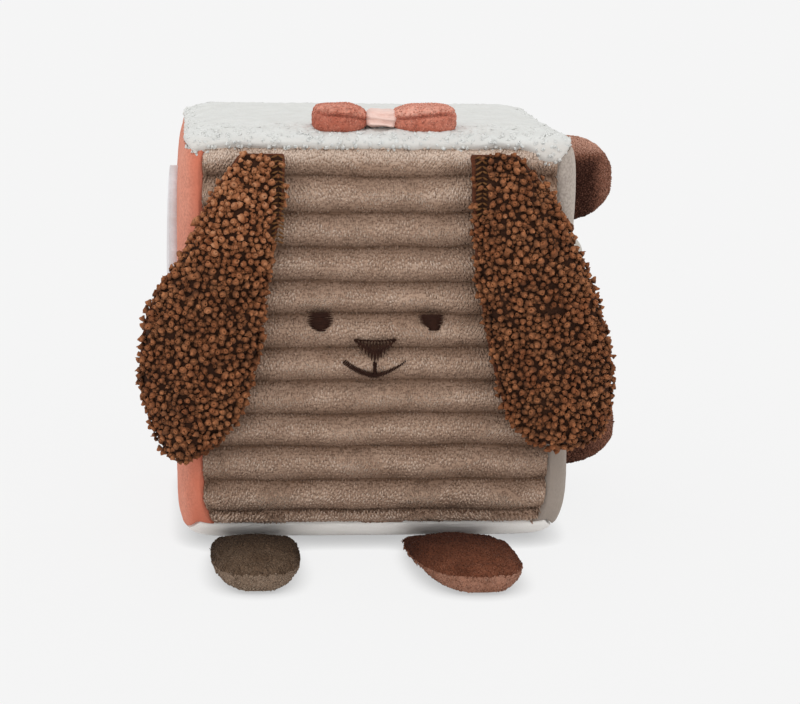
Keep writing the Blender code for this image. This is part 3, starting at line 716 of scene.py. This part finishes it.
sidePanels = {
    "left": {"name": "left_velour", "look": "coral", "slot": "coral_velour", "swell": 0.35, "sunk": 0.7},
    "right": {"name": "right_velour", "look": "greyVelour", "slot": "grey_velour", "swell": 0.35, "sunk": 0},
    "back": {"name": "back_velour", "look": "backVelour", "slot": "back_velour", "swell": 0.35, "sunk": 0},
    "bottom": {
        "name": "bottom_cotton", "look": "whiteCotton", "slot": "white_cotton", "swell": 0.3, "sunk": 0,
    },
}
for index, (panel, side) in enumerate(sidePanels.items()):

    def panelRelief(spot, edge):
        # Soft swells, puckers along the seams, and flat where the block stands on the floor
        swell = side["swell"] * mm
        soft = swell * grain(spot, 14 * mm, 40 + index) + 0.2 * swell * grain(spot, 3 * mm, 50 + index)
        pucker = 0.25 * mm * grain(spot, 3.2 * mm, 60 + index) * (1 - smooth(edge / 0.12))
        seamDrop = 0.45 * mm * (1 - smooth(edge / 0.035))
        floorFree = between(spot.z, 0.2 * mm, 3 * mm)
        return ((soft - side["sunk"] * mm) * smooth(edge / 0.06) + pucker - seamDrop) * floorFree

    def panelTone(spot):
        # Painted light and shade: the coral is paler on its outer part and in painted shade towards its seam
        # with the front, and the grey side is painted in shade low down and lighter towards the top
        if panel == "left":
            return 1 - 0.8 * between(spot.x, -60.5 * mm, -55 * mm) + 0.2 * grain(spot, 6 * mm, 70)
        if panel == "right":
            return 0.15 + 0.85 * between(spot.z, 35 * mm, 112 * mm) + 0.15 * grain(spot, 9 * mm, 71)
        return 0.95 + 0.12 * grain(spot, 9 * mm, 70 + index)

    mesh = coverPanel(panel, 110, 110, panelRelief, panelTone)
    keep(side["name"], mesh, side["look"], "block", side["slot"], panel + "_panel", fill=0.7)

print("ears")
ears = {
    "left": {"seed": 21, "strip": ((-34.2, -29.2), (99, 126)), "lit": 0.42},
    "right": {"seed": 22, "strip": ((27.4, 32.2), (108, 126)), "lit": 0.04},
}
earPile = {
    "buds": 1350,
    "budSize": (1.1, 1.75),
    "budLift": (0.2, 1.5),
    "budsApart": 1.75 * mm,
    "fluff": 1400,
    "fluffSize": (0.75, 1.25),
    "fluffLift": (-0.1, 0.5),
    "seamRow": 1.5,
    "seamThread": (0.34 * mm, 0.4 * mm),
}
bud = curlTemplate(segments=5)


def curlTipLight(template):
    # Painted light towards the tips of a wound curl
    return np.array([0.62 * smooth((vert.co.z + 0.15) / 0.95) for vert in template.vertices])


def onStrip(ear, point):
    # The flattened seam allowance at the ear's root, where the pile is sewn down
    (left, right), (low, high) = ear["strip"]
    return left < point.x / mm < right and low < point.z / mm < high


for side, ear in ears.items():
    body = side + "_ear"
    cover = body + "_curly_cover"
    base = softCopy(cover, 0.9 * mm, smoothings=3, shrink=0.8 * mm)
    baseMesh = meshOf(body + "_base", base)
    # The backing is painted in shade, as dark as the gaps between the curls
    setTone(baseMesh, 0.45)
    rng = np.random.default_rng(ear["seed"])
    points, normals = scatter(baseMesh, earPile["fluff"] * 6, rng)
    fluff, buds, taken = ([], []), ([], []), np.empty((0, 3))
    for pick in rng.permutation(len(points)):
        # Large buds keep their distance, and small fluff fills in below them
        point, normal = Vector(points[pick]), Vector(normals[pick])
        if normal.y > 0.5 or (onStrip(ear, point) and rng.random() < 0.9):
            continue
        # Painted light on the upper left ear; raised buds are painted lighter and the low fluff darker, as
        # painted shade between them
        lit = ear["lit"] * between(point.z, 80 * mm, 112 * mm)
        towards, lean = anyWay(rng), anyWay(rng)
        if len(buds[0]) < earPile["buds"]:
            apart = earPile["budsApart"] * (1 + 0.3 * grain(point, 9 * mm, 82))
            if len(taken) == 0 or np.linalg.norm(taken - points[pick], axis=1).min() > apart:
                taken = np.vstack((taken, points[pick]))
                size = rng.uniform(*earPile["budSize"]) * mm
                lift = rng.uniform(*earPile["budLift"]) * mm
                stretch = (size * rng.uniform(1.0, 1.3), size, size * rng.uniform(0.9, 1.3))
                buds[0].append(standing(point + normal * lift, normal + lean * 0.85, towards, stretch))
                tone = lit + 0.06 + 0.1 * lift / mm + 0.22 * grain(point, 6 * mm, 80)
                buds[1].append(tone + 0.24 * rng.random())
                continue
        if len(fluff[0]) < earPile["fluff"]:
            size = rng.uniform(*earPile["fluffSize"]) * mm
            lift = rng.uniform(*earPile["fluffLift"]) * mm
            stretch = (size * 1.2, size, size)
            fluff[0].append(standing(point + normal * lift, normal + lean * 0.9, towards, stretch))
            fluff[1].append(lit - 0.02 + 0.15 * grain(point, 6 * mm, 80) + 0.15 * rng.random())
    keep(body + "_backing", baseMesh, "earCloth", body, "curly_plush", cover, fill=0.4)
    for kind, shape, layer in (("fluff", curl, fluff), ("curls", bud, buds)):
        mesh = stampAll("curls", shape, *layer, curlTipLight(shape))
        keep(f"{body}_{kind}", mesh, "curls", body, "curly_plush")

    (left, right), (low, high) = ear["strip"]
    centre, step = (left + right) / 2, earPile["seamRow"]
    rows = bmesh.new()
    for number in range(int((high - low) / step)):
        # A zigzag of thread across the strip, just in front of the cloth
        z = high - 1.0 - number * step
        near = [y for x, y, up in points if abs(x / mm - centre) < step and abs(up / mm - z) < step]
        front = min(near) + 0.1 * mm
        across = (left + 0.6, centre + 0.3, right - 0.3)
        ups = rng.uniform(-0.3, 0.3, 3) + (-0.5, 0.5, -0.4)
        ends = [Vector((x * mm, front, (z + up) * mm)) for x, up in zip(across, ups)]
        thread(rows, ends[0], ends[1], *earPile["seamThread"])
        thread(rows, ends[1], ends[2], *earPile["seamThread"])
    rowsMesh = meshOf("rows", rows)
    setTone(rowsMesh, 0.5)
    keep(body + "_seam_thread", rowsMesh, "goldThread", body, "dark_thread")
    lining = meshOf("lining", softCopy(body + "_lining", 0.8 * mm, smoothings=2))
    setTone(lining, 0.9)
    keep(body + "_backcloth", lining, "brown", body, "brown_plush", body + "_lining", fill=0.2)
    film = softCopy(body + "_crinkle_film", 0.5 * mm, smoothings=1)
    for vert in film.verts:
        vert.co.y += 0.12 * mm * grain(vert.co, 2.5 * mm, 90)
    filmMesh = meshOf("film", film)
    keep(body + "_film", filmMesh, "film", body, "crinkle_film", body + "_crinkle_film", fill=0.1)

print("feet and tabs")
paddleForm = {
    "shares": (0.0, 0.12, 0.28, 0.45, 0.60, 0.74, 0.86, 0.95, 1.0),
    "widths": (0.7, 0.88, 0.97, 1.0, 0.98, 0.92, 0.79, 0.57, 0.0),
    "tabWidths": (0.95, 0.98, 1.0, 0.98, 0.91, 0.79, 0.61, 0.38, 0.0),
    "crowns": (0.0, 0.26, 0.68, 0.95, 1.0, 0.96, 0.85, 0.6, 0.0),
    "soleCrowns": (0.0, 0.34, 0.8, 1.0, 1.0, 1.0, 1.0, 0.93, 0.0),
    "columns": 26,
    "rows": 40,
    "wall": 1.2 * mm,
    "mass": 0.12,
    "stiffness": 8,
    "shear": 4,
    "bending": 1.5,
    "shrink": -0.02,
    "pressure": 5.0,
    "frames": 20,
    "furthest": 1.0 * mm,
    "pile": 4200,
    "pileLong": (0.7, 1.2),
}
foot = {
    "forward": (0, -1, 0), "across": (1, 0, 0), "crowns": (4.2 * mm, 1.6 * mm), "climb": 3.8 * mm,
    "parts": ("top", "sole"),
}
tab = {
    "forward": (1, 0, 0), "across": (0, 0, 1), "width": 28.5 * mm, "lean": 0.0, "climb": 0.0,
    "crowns": (3.6 * mm, 3.6 * mm), "looks": ("tabBrown", "tabBrown"), "slot": "brown_plush",
    "parts": ("front", "back"),
}
paddles = {
    "left_foot": foot | {
        "root": (-37.8 * mm, -45.365 * mm, 2.55 * mm), "width": 26.9 * mm, "length": 54.2 * mm,
        "lean": 0.0, "looks": ("taupe", "taupeSoleLit"), "slot": "taupe_plush",
    },
    "right_foot": foot | {
        "root": (22.8 * mm, -45.365 * mm, 2.55 * mm), "width": 31.6 * mm, "length": 57.8 * mm,
        "lean": 5.4 * mm, "looks": ("brown", "brownSoleLit"), "slot": "brown_plush",
    },
    "upper_tab": tab | {"root": (63.35 * mm, 20 * mm, 109.6 * mm), "length": 22.4 * mm},
    "lower_tab": tab | {"root": (63.358 * mm, 20 * mm, 24 * mm), "length": 26.2 * mm},
}


def alongPad(values, share):
    return float(np.interp(share, paddleForm["shares"], values))


def paddleShape(pad):
    # Two sheets sewn along their rim, as a half-oval bag a little slimmer than its solid
    root, forward, across = (Vector(pad[key]) for key in ("root", "forward", "across"))
    normal = forward.cross(across)
    widths = paddleForm["widths" if pad["climb"] else "tabWidths"]
    underCrowns = paddleForm["soleCrowns" if pad["climb"] else "crowns"]
    faces = ((1, pad["crowns"][0], paddleForm["crowns"]), (-1, pad["crowns"][1], underCrowns))
    bag = bmesh.new()
    sheets = []
    for sign, crown, crowns in faces:
        made = bmesh.ops.create_grid(bag, x_segments=paddleForm["columns"], y_segments=paddleForm["rows"],
                                     size=1.0)["verts"]
        for vert in made:
            u = vert.co.x * (1.5 - 0.5 * vert.co.x ** 2)
            share = (vert.co.y + 1) / 2
            share = 1 - (1 - share) ** 1.35
            half = pad["width"] / 2 * alongPad(widths, share)
            fullness = crown + (pad["climb"] * share if sign < 0 else 0.0)
            arch = fullness * alongPad(crowns, share) * max(0.0, 1 - abs(u) ** 3.2) ** 0.5
            wall = paddleForm["wall"] * smooth((1 - abs(u)) / 0.12) * smooth((1 - share) / 0.06)
            wall *= 0.35 + 0.65 * smooth(share / 0.2)
            lift = sign * (arch * 0.92 + wall * 0.8)
            along = forward * (share * pad["length"]) + across * (half * u + pad["lean"] * share)
            vert.co = root + along + normal * (pad["climb"] * share + lift)
        sheets.append(set(made))
    for face in bag.faces:
        face.material_index = 1 if face.verts[0] in sheets[1] else 0
    bmesh.ops.remove_doubles(bag, verts=bag.verts, dist=0.02 * mm)
    rim = [edge for edge in bag.edges if edge.is_boundary]
    if rim:
        bmesh.ops.contextual_create(bag, geom=rim)
    bmesh.ops.recalc_face_normals(bag, faces=bag.faces)
    pinned = set()
    for edge in bag.edges:
        if len({face.material_index for face in edge.link_faces}) > 1:
            pinned.update(vert.index for vert in edge.verts)
    for vert in bag.verts:
        if (vert.co - root).dot(forward) < 0.3 * mm:
            pinned.add(vert.index)
    return bag, sorted(pinned)


bags, seams = {}, {}
for name, pad in paddles.items():
    bag, seams[name] = paddleShape(pad)
    nodes = [f"{name}_{part}" for part in pad["parts"]]
    bags[name] = keep(name + "_cover", meshOf(name, bag), pad["looks"], name, pad["slot"], *nodes, fill=0.75)
# Each bag is blown up a little as cloth, pinned along its seams
for name, piece in bags.items():
    piece.vertex_groups.new(name="seam").add(seams[name], 1.0, "REPLACE")
    cloth = piece.modifiers.new("Cloth", "CLOTH")
    cloth.settings.quality = 5
    cloth.settings.mass = paddleForm["mass"]
    cloth.settings.tension_stiffness = paddleForm["stiffness"]
    cloth.settings.compression_stiffness = paddleForm["stiffness"]
    cloth.settings.shear_stiffness = paddleForm["shear"]
    cloth.settings.bending_stiffness = paddleForm["bending"]
    cloth.settings.shrink_min = paddleForm["shrink"]
    cloth.settings.shrink_max = paddleForm["shrink"]
    cloth.settings.vertex_group_mass = "seam"
    cloth.settings.use_pressure = True
    cloth.settings.uniform_pressure_force = paddleForm["pressure"]
    cloth.settings.effector_weights.gravity = 0
    cloth.collision_settings.use_collision = False
    cloth.point_cache.frame_start = 1
    cloth.point_cache.frame_end = paddleForm["frames"]
for step in range(1, paddleForm["frames"] + 1):
    bpy.context.scene.frame_set(step)
graph = bpy.context.evaluated_depsgraph_get()
for name, piece in bags.items():
    puffed = piece.evaluated_get(graph).to_mesh()
    moved = []
    for vert, target in zip(piece.data.vertices, puffed.vertices):
        step = target.co - vert.co
        if step.length > paddleForm["furthest"]:
            step = step * (paddleForm["furthest"] / step.length)
        moved.append(vert.co + step)
    piece.evaluated_get(graph).to_mesh_clear()
    longest = max((new - old.co).length for new, old in zip(moved, piece.data.vertices))
    print(name, "moved up to", round(longest / mm, 2), "mm")
    for vert, spot in zip(piece.data.vertices, moved):
        vert.co = spot
    piece.modifiers.clear()
    piece.vertex_groups.clear()
bpy.context.scene.frame_set(1)


def paddleTone(name, spot):
    # The pile is painted in shade near the root and in the tabs' middles, and painted light on toes and rims
    speckle = 0.14 * grain(spot, 5 * mm, 100) + 0.14 * grain(spot, 1.4 * mm, 101)
    if name == "upper_tab":
        # The upper tab's painted highlight along its far rim and its top
        rim = max(between(spot.x, 77 * mm, 83 * mm) * 0.6, between(spot.z, 114 * mm, 121 * mm))
        return 0.08 + 1.7 * rim + speckle
    if name == "lower_tab":
        return 0.4 + 0.5 * between(spot.x, 76 * mm, 88 * mm) + speckle
    return 0.12 + 0.85 * between(-spot.y, 66 * mm, 98 * mm) + speckle


for name, piece in bags.items():
    pad = paddles[name]
    root, forward = Vector(pad["root"]), Vector(pad["forward"])
    for vert in piece.data.vertices:
        vert.co.z = max(vert.co.z, 0.25 * mm)
    setTone(piece.data, [paddleTone(name, vert.co) for vert in piece.data.vertices])
    finer = piece.modifiers.new("Finer", "SUBSURF")
    finer.levels = 1
    finer.render_levels = 1
    rng = np.random.default_rng(len(name) + ord(name[0]))
    points, normals = scatter(piece.data, paddleForm["pile"], rng)
    spots, tones, kinds = [], [], []
    for place, way in zip(points, normals):
        # Short pile leaning towards the toe, none of it under the foot or in the seam
        point, normal = Vector(place), Vector(way)
        share = (point - root).dot(forward) / pad["length"]
        if point.z < 0.9 * mm or share < 0.04:
            continue
        towards = forward * 0.8 + Vector((rng.uniform(-1, 1), rng.uniform(-1, 1), rng.uniform(-1.2, 0.6)))
        long = rng.uniform(*paddleForm["pileLong"]) * mm
        spots.append(standing(point, normal, towards, (long, 0.65 * mm, 1.8 * mm)))
        tones.append(paddleTone(name, point) - 0.1 + 0.25 * rng.random())
        # Pile on the sole takes the sole's painted-light cloth
        kinds.append(1 if pad["climb"] and point.z < root.z + pad["climb"] * share else 0)
    pile = stampAll(name + "_pile", lock, spots, tones, lockShadeAndLight, kinds)
    keep(name + "_pile", pile, pad["looks"], name, pad["slot"])
    filling = softCopy(name + "_filling", 0.8 * mm, smoothings=1, shrink=0.45 * mm)
    for vert in filling.verts:
        vert.co = vert.co - vert.normal * 0.15 * mm * (1 + grain(vert.co, 2 * mm, 110))
    stuffing = meshOf("stuffing", filling)
    keep(name + "_stuffing", stuffing, "stuffing", name, "stuffing", name + "_filling", fill=0.8)

print("bow")
loop = {"look": "salmon", "slot": "salmon_plush", "power": 4.0}
bow = {
    "bow_loop_left": loop | {
        "name": "bow_left_loop", "middle": -11.9, "half": (8.2, 7.6, 4.4), "outward": -1, "seed": 13,
        "tone": 0.35, "pileTone": 0.5,
    },
    "bow_loop_right": loop | {
        "name": "bow_right_loop", "middle": 14.2, "half": (9.8, 7.6, 4.4), "outward": 1, "seed": 14,
        "tone": 0.6, "pileTone": 0.75,
    },
    "bow_knot": {
        "name": "bow_satin_knot", "look": "satin", "slot": "satin", "power": 3.0, "middle": 0.8,
        "half": (4.9, 7.4, 3.4),
    },
}
for node, part in bow.items():
    # A rounded block, pinched and folded into a loop of plush or a band of satin
    soft = cubeGrid(27)
    middle = Vector((part["middle"] * mm, -42.5 * mm, 135.0 * mm))
    tones = []
    for vert in soft.verts:
        way = vert.co.normalized()
        x, y, z = way * blockReach(way, part["power"])
        if node == "bow_knot":
            waist = 0.78 + 0.22 * x * x
            folds = 1 + 0.1 * math.sin(z * 9 + 1.5 * x) + 0.05 * grain(vert.co, 0.3, 120)
            place = Vector((x, y * waist * folds, z * waist * folds))
            tones.append(1.0)
        else:
            # The fold runs from the knot outwards: the loop is in painted shade up to the fold, and the back
            # layer above it and the loop's ends are painted lighter
            out = x * part["outward"]
            fold = 0.32 + 0.22 * out + 0.12 * grain((x, 0, 0), 0.6, 121)
            dent = math.exp(-((z - fold) / 0.13) ** 2) * (0.5 + 0.5 * smooth((-y + 0.2) * 2))
            pinch = 1 - 0.16 * smooth((-out - 0.3) * 1.6)
            uneven = 1 + 0.05 * grain((x, y, 0), 0.5, 122)
            place = Vector((x, y * pinch * (1 - 0.22 * dent), z * pinch * uneven - 0.1 * dent))
            tone = part["tone"] + 0.75 * between(z, fold - 0.15, fold + 0.25)
            tones.append(tone + 0.2 * smooth(abs(x) * 3 - 2) + 0.2 * grain(vert.co, 0.2, 123))
        vert.co = middle + Vector([along * half * mm for along, half in zip(place, part["half"])])
    bmesh.ops.recalc_face_normals(soft, faces=soft.faces)
    mesh = meshOf(node, soft)
    setTone(mesh, tones)
    keep(part["name"], mesh, part["look"], "block", part["slot"], node, fill=0.6)
    if node != "bow_knot":
        rng = np.random.default_rng(part["seed"])
        points, normals = scatter(mesh, 900, rng)
        spots, tones = [], []
        for place, way in zip(points, normals):
            towards = anyWay(rng)
            size = (rng.uniform(0.6, 1.0) * mm, 0.6 * mm, 1.6 * mm)
            spots.append(standing(Vector(place), way, towards, size))
            # Painted light on the pile along the loops' tops
            tone = part["pileTone"] + 0.5 * between(place[2], 136 * mm, 139.5 * mm)
            tones.append(tone + 0.3 * rng.random())
        pile = stampAll("bowPile", lock, spots, tones, lockShadeAndLight)
        keep(part["name"] + "_pile", pile, "salmon", "block", "salmon_plush")

print("embroidery")


def faceSpot(x, z):
    # A point on the rib crowns of the front, given in mm
    slope = (z * mm - block["middle"]) / block["halfSize"][2]
    return skin(Vector((x * mm / block["halfSize"][0], -1, slope)))


def stitch(shape, start, end, thick, lift):
    thread(shape, faceSpot(*start), faceSpot(*end), thick * mm, lift * mm)


def keepStitches(name, shape, tone):
    mesh = meshOf(name, shape)
    setTone(mesh, tone)
    keep(name + "_stitches", mesh, "thread", "block", "dark_thread", name + "_stitching")


eyes = {
    "left_eye": {"x": -17.9, "z": 74.0, "half": (4.1, 2.9), "rows": 11},
    "right_eye": {"x": 16.3, "z": 73.8, "half": (4.1, 2.5), "rows": 11},
}
for name, eye in eyes.items():
    shape = bmesh.new()
    rng = random.Random(name)
    for row in range(eye["rows"]):
        across = 1 - 2 * (row + 0.5) / eye["rows"]
        if name == "right_eye":
            wide = 1.0 - 0.32 * smooth((0.5 - across) / 1.4)
        elif across > 0.4:
            wide = 0.78 + 0.22 * smooth((1 - across) * 2)
        else:
            wide = math.sqrt(max(0.05, 1 - (across - 0.1) ** 2 / 1.25))
        z = eye["z"] + across * eye["half"][1]
        left = eye["x"] - eye["half"][0] * wide + rng.uniform(-0.25, 0.25)
        right = eye["x"] + eye["half"][0] * wide + rng.uniform(-0.25, 0.25)
        if name == "right_eye" and across < -0.1:
            left += 1.6 * smooth((-0.1 - across) / 0.5)
        stitch(shape, (left, z), (right, z + rng.uniform(-0.15, 0.15)), 0.34, 0.9)
    keepStitches(name, shape, 0.8)

nose = {"x": -1.0, "top": 68.6, "height": 7.6, "half": 6.5, "dip": 0.55, "slant": 0.35, "stitches": 26}
shape = bmesh.new()
rng = random.Random("nose")
for number in range(nose["stitches"]):
    across = -1 + 2 * (number + 0.5) / nose["stitches"]
    top = nose["top"] - nose["dip"] * (1 - across * across)
    low = nose["top"] - nose["height"] * (1 - abs(across) ** 1.15) - 0.3
    x = nose["x"] + nose["half"] * across
    slant = nose["slant"] if number % 2 else -nose["slant"]
    start = (x + slant, top + rng.uniform(-0.1, 0.1))
    stitch(shape, start, (x - slant, low + rng.uniform(-0.15, 0.15)), 0.3, 0.9)
for number in range(14):
    # A row of short stitches closes the upper edge
    across = -0.9 + 1.8 * number / 13
    top = nose["top"] - nose["dip"] * (1 - across * across)
    left, right = (nose["x"] + nose["half"] * (across + side) for side in (-0.07, 0.07))
    stitch(shape, (left, top), (right, top + 0.05), 0.32, 1.1)
keepStitches("nose", shape, 0.9)

mouth = {"x": -1.0, "z": 57.2, "half": 9.4, "rise": 4.3, "wide": 1.9, "stemTop": 61.3, "stitches": 40}
shape = bmesh.new()
rng = random.Random("mouth")
for number in range(9):
    z = mouth["stemTop"] - number * 0.5
    stitch(shape, (mouth["x"] - 0.6, z), (mouth["x"] + 0.8, z - 0.35), 0.3, 0.8)
for number in range(mouth["stitches"]):
    across = -1 + 2 * number / (mouth["stitches"] - 1)
    x = mouth["x"] + mouth["half"] * across
    z = mouth["z"] + mouth["rise"] * abs(across) ** 1.7
    wide = mouth["wide"] * (1 - 0.62 * max(0.0, across) ** 1.5 - 0.1 * abs(across)) + rng.uniform(-0.15, 0.15)
    slope = 1.7 * mouth["rise"] * abs(across) ** 0.7 / mouth["half"] * (1 if across > 0 else -1)
    way = Vector((-slope, 1)).normalized()
    start = (x - way.x * wide / 2 - 0.15, z - way.y * wide / 2)
    stitch(shape, start, (x + way.x * wide / 2 + 0.15, z + way.y * wide / 2), 0.28, 0.8)
keepStitches("mouth", shape, 0.6)

print("patches and inner pieces")
foam = {"look": "foam", "slot": "foam", "smoothings": 1, "fill": 1.0}
softPieces = {
    "left_patch": {
        "name": "left_pale_patch", "look": "paleCloth", "slot": "pale_cloth", "voxel": 0.8 * mm,
        "smoothings": 6, "fill": 0.8,
    },
    "foam_core": foam | {"name": "foam_block", "voxel": 2.5 * mm},
    "foam_plug": foam | {"name": "foam_stopper", "voxel": 1.5 * mm},
}
for node, part in softPieces.items():
    soft = softCopy(node, part["voxel"], part["smoothings"])
    soft.normal_update()
    for vert in soft.verts:
        vert.co = vert.co + vert.normal * 0.15 * mm * grain(vert.co, 9 * mm, 130)
        if node == "left_patch":
            vert.co.x += 1.9 * mm if vert.normal.x > -0.3 else -0.8 * mm
    mesh = meshOf(part["name"], soft)
    keep(part["name"], mesh, part["look"], "block", part["slot"], node, fill=part["fill"])
rightPatch = {"middle": (64.4, 0, 66.9), "half": (4.1, 34, 27.6), "power": 7, "uneven": 0.5 * mm}
soft = cubeGrid(35)
for vert in soft.verts:
    way = vert.co.normalized()
    reach = blockReach(way, rightPatch["power"])
    parts = zip(rightPatch["middle"], way, rightPatch["half"])
    place = Vector([middle + part * reach * half for middle, part, half in parts]) * mm
    swell = rightPatch["uneven"] * grain(place, 12 * mm, 131) if way.x > 0 else 0.0
    vert.co = place + Vector((swell, 0, 0))
bmesh.ops.recalc_face_normals(soft, faces=soft.faces)
mesh = meshOf("right_patch", soft)
keep("right_white_patch", mesh, "whiteCloth", "block", "white_cloth", "right_patch", fill=0.8)
for name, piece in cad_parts.items():
    if name.startswith("rattle"):
        for place in piece.material_slots:
            place.material = fabrics["beadPlastic" if "bead" in name else "shellPlastic"]

print("floor and light")
studio = {
    "backdrop": 0.913,
    "paper": 0.92,
    "floor": 0.9,
    "touchReach": 8 * mm,
    "touchLight": 0.88,
    "touchDark": 0.55,
    "world": 0.82,
    "lampSpread": 80,
    "lamps": {
        "softLamp": {"energy": 0.75, "tilt": 38, "turn": -14},
        "fillLamp": {"energy": 0.35, "tilt": 84, "turn": -6},
    },
}


def plainPaint(bright):
    return (bright, bright, bright, 1)


floorShape = bmesh.new()
bmesh.ops.create_grid(floorShape, x_segments=1, y_segments=1, size=20)
floor = addObject("floor", meshOf("floor", floorShape))
floorLook = bpy.data.materials.new("floorPaper")
floorLook.use_nodes = True
tree = floorLook.node_tree
# The camera sees the paper's own light, dimmed into a painted shadow where the block is near; all other rays
# see matt paper
near = addNode(tree, "AmbientOcclusion", {"Distance": studio["touchReach"]})
near.samples = 16
contactShade = addNode(tree, "MapRange", {
    "Value": near.outputs["AO"], "From Max": studio["touchLight"], "To Min": studio["touchDark"],
})
paper = addNode(tree, "Emission", {
    "Color": plainPaint(studio["backdrop"]), "Strength": contactShade.outputs["Result"],
})
matt = setInputs(tree, tree.nodes["Principled BSDF"], {
    "Base Color": plainPaint(studio["floor"]), "Roughness": 1.0, "Specular IOR Level": 0.0,
})
ray = tree.nodes.new("ShaderNodeLightPath")
seen = tree.nodes.new("ShaderNodeMath")
seen.operation = "MULTIPLY"
setInputs(tree, seen, {0: ray.outputs["Is Camera Ray"], 1: studio["paper"]})
mixed = addNode(tree, "MixShader", {0: seen.outputs[0], 1: matt.outputs[0], 2: paper.outputs[0]})
setInputs(tree, tree.nodes["Material Output"], {"Surface": mixed.outputs[0]})
floor.data.materials.append(floorLook)

world = bpy.data.worlds.new("studio")
bpy.context.scene.world = world
world.use_nodes = True
tree = world.node_tree
# The camera sees the backdrop's grey, and the block is lit by white
light = setInputs(tree, tree.nodes["Background"], {"Color": plainPaint(1), "Strength": studio["world"]})
shown = addNode(tree, "Background", {"Color": plainPaint(studio["backdrop"])})
ray = tree.nodes.new("ShaderNodeLightPath")
choose = addNode(tree, "MixShader", {
    0: ray.outputs["Is Camera Ray"], 1: light.outputs[0], 2: shown.outputs[0],
})
setInputs(tree, tree.nodes["World Output"], {"Surface": choose.outputs[0]})
for name, lamp in studio["lamps"].items():
    sun = bpy.data.lights.new(name, "SUN")
    sun.energy = lamp["energy"]
    sun.angle = math.radians(studio["lampSpread"])
    addObject(name, sun).rotation_euler = (math.radians(lamp["tilt"]), 0, math.radians(lamp["turn"]))

bpy.context.scene.view_settings.view_transform = "Standard"
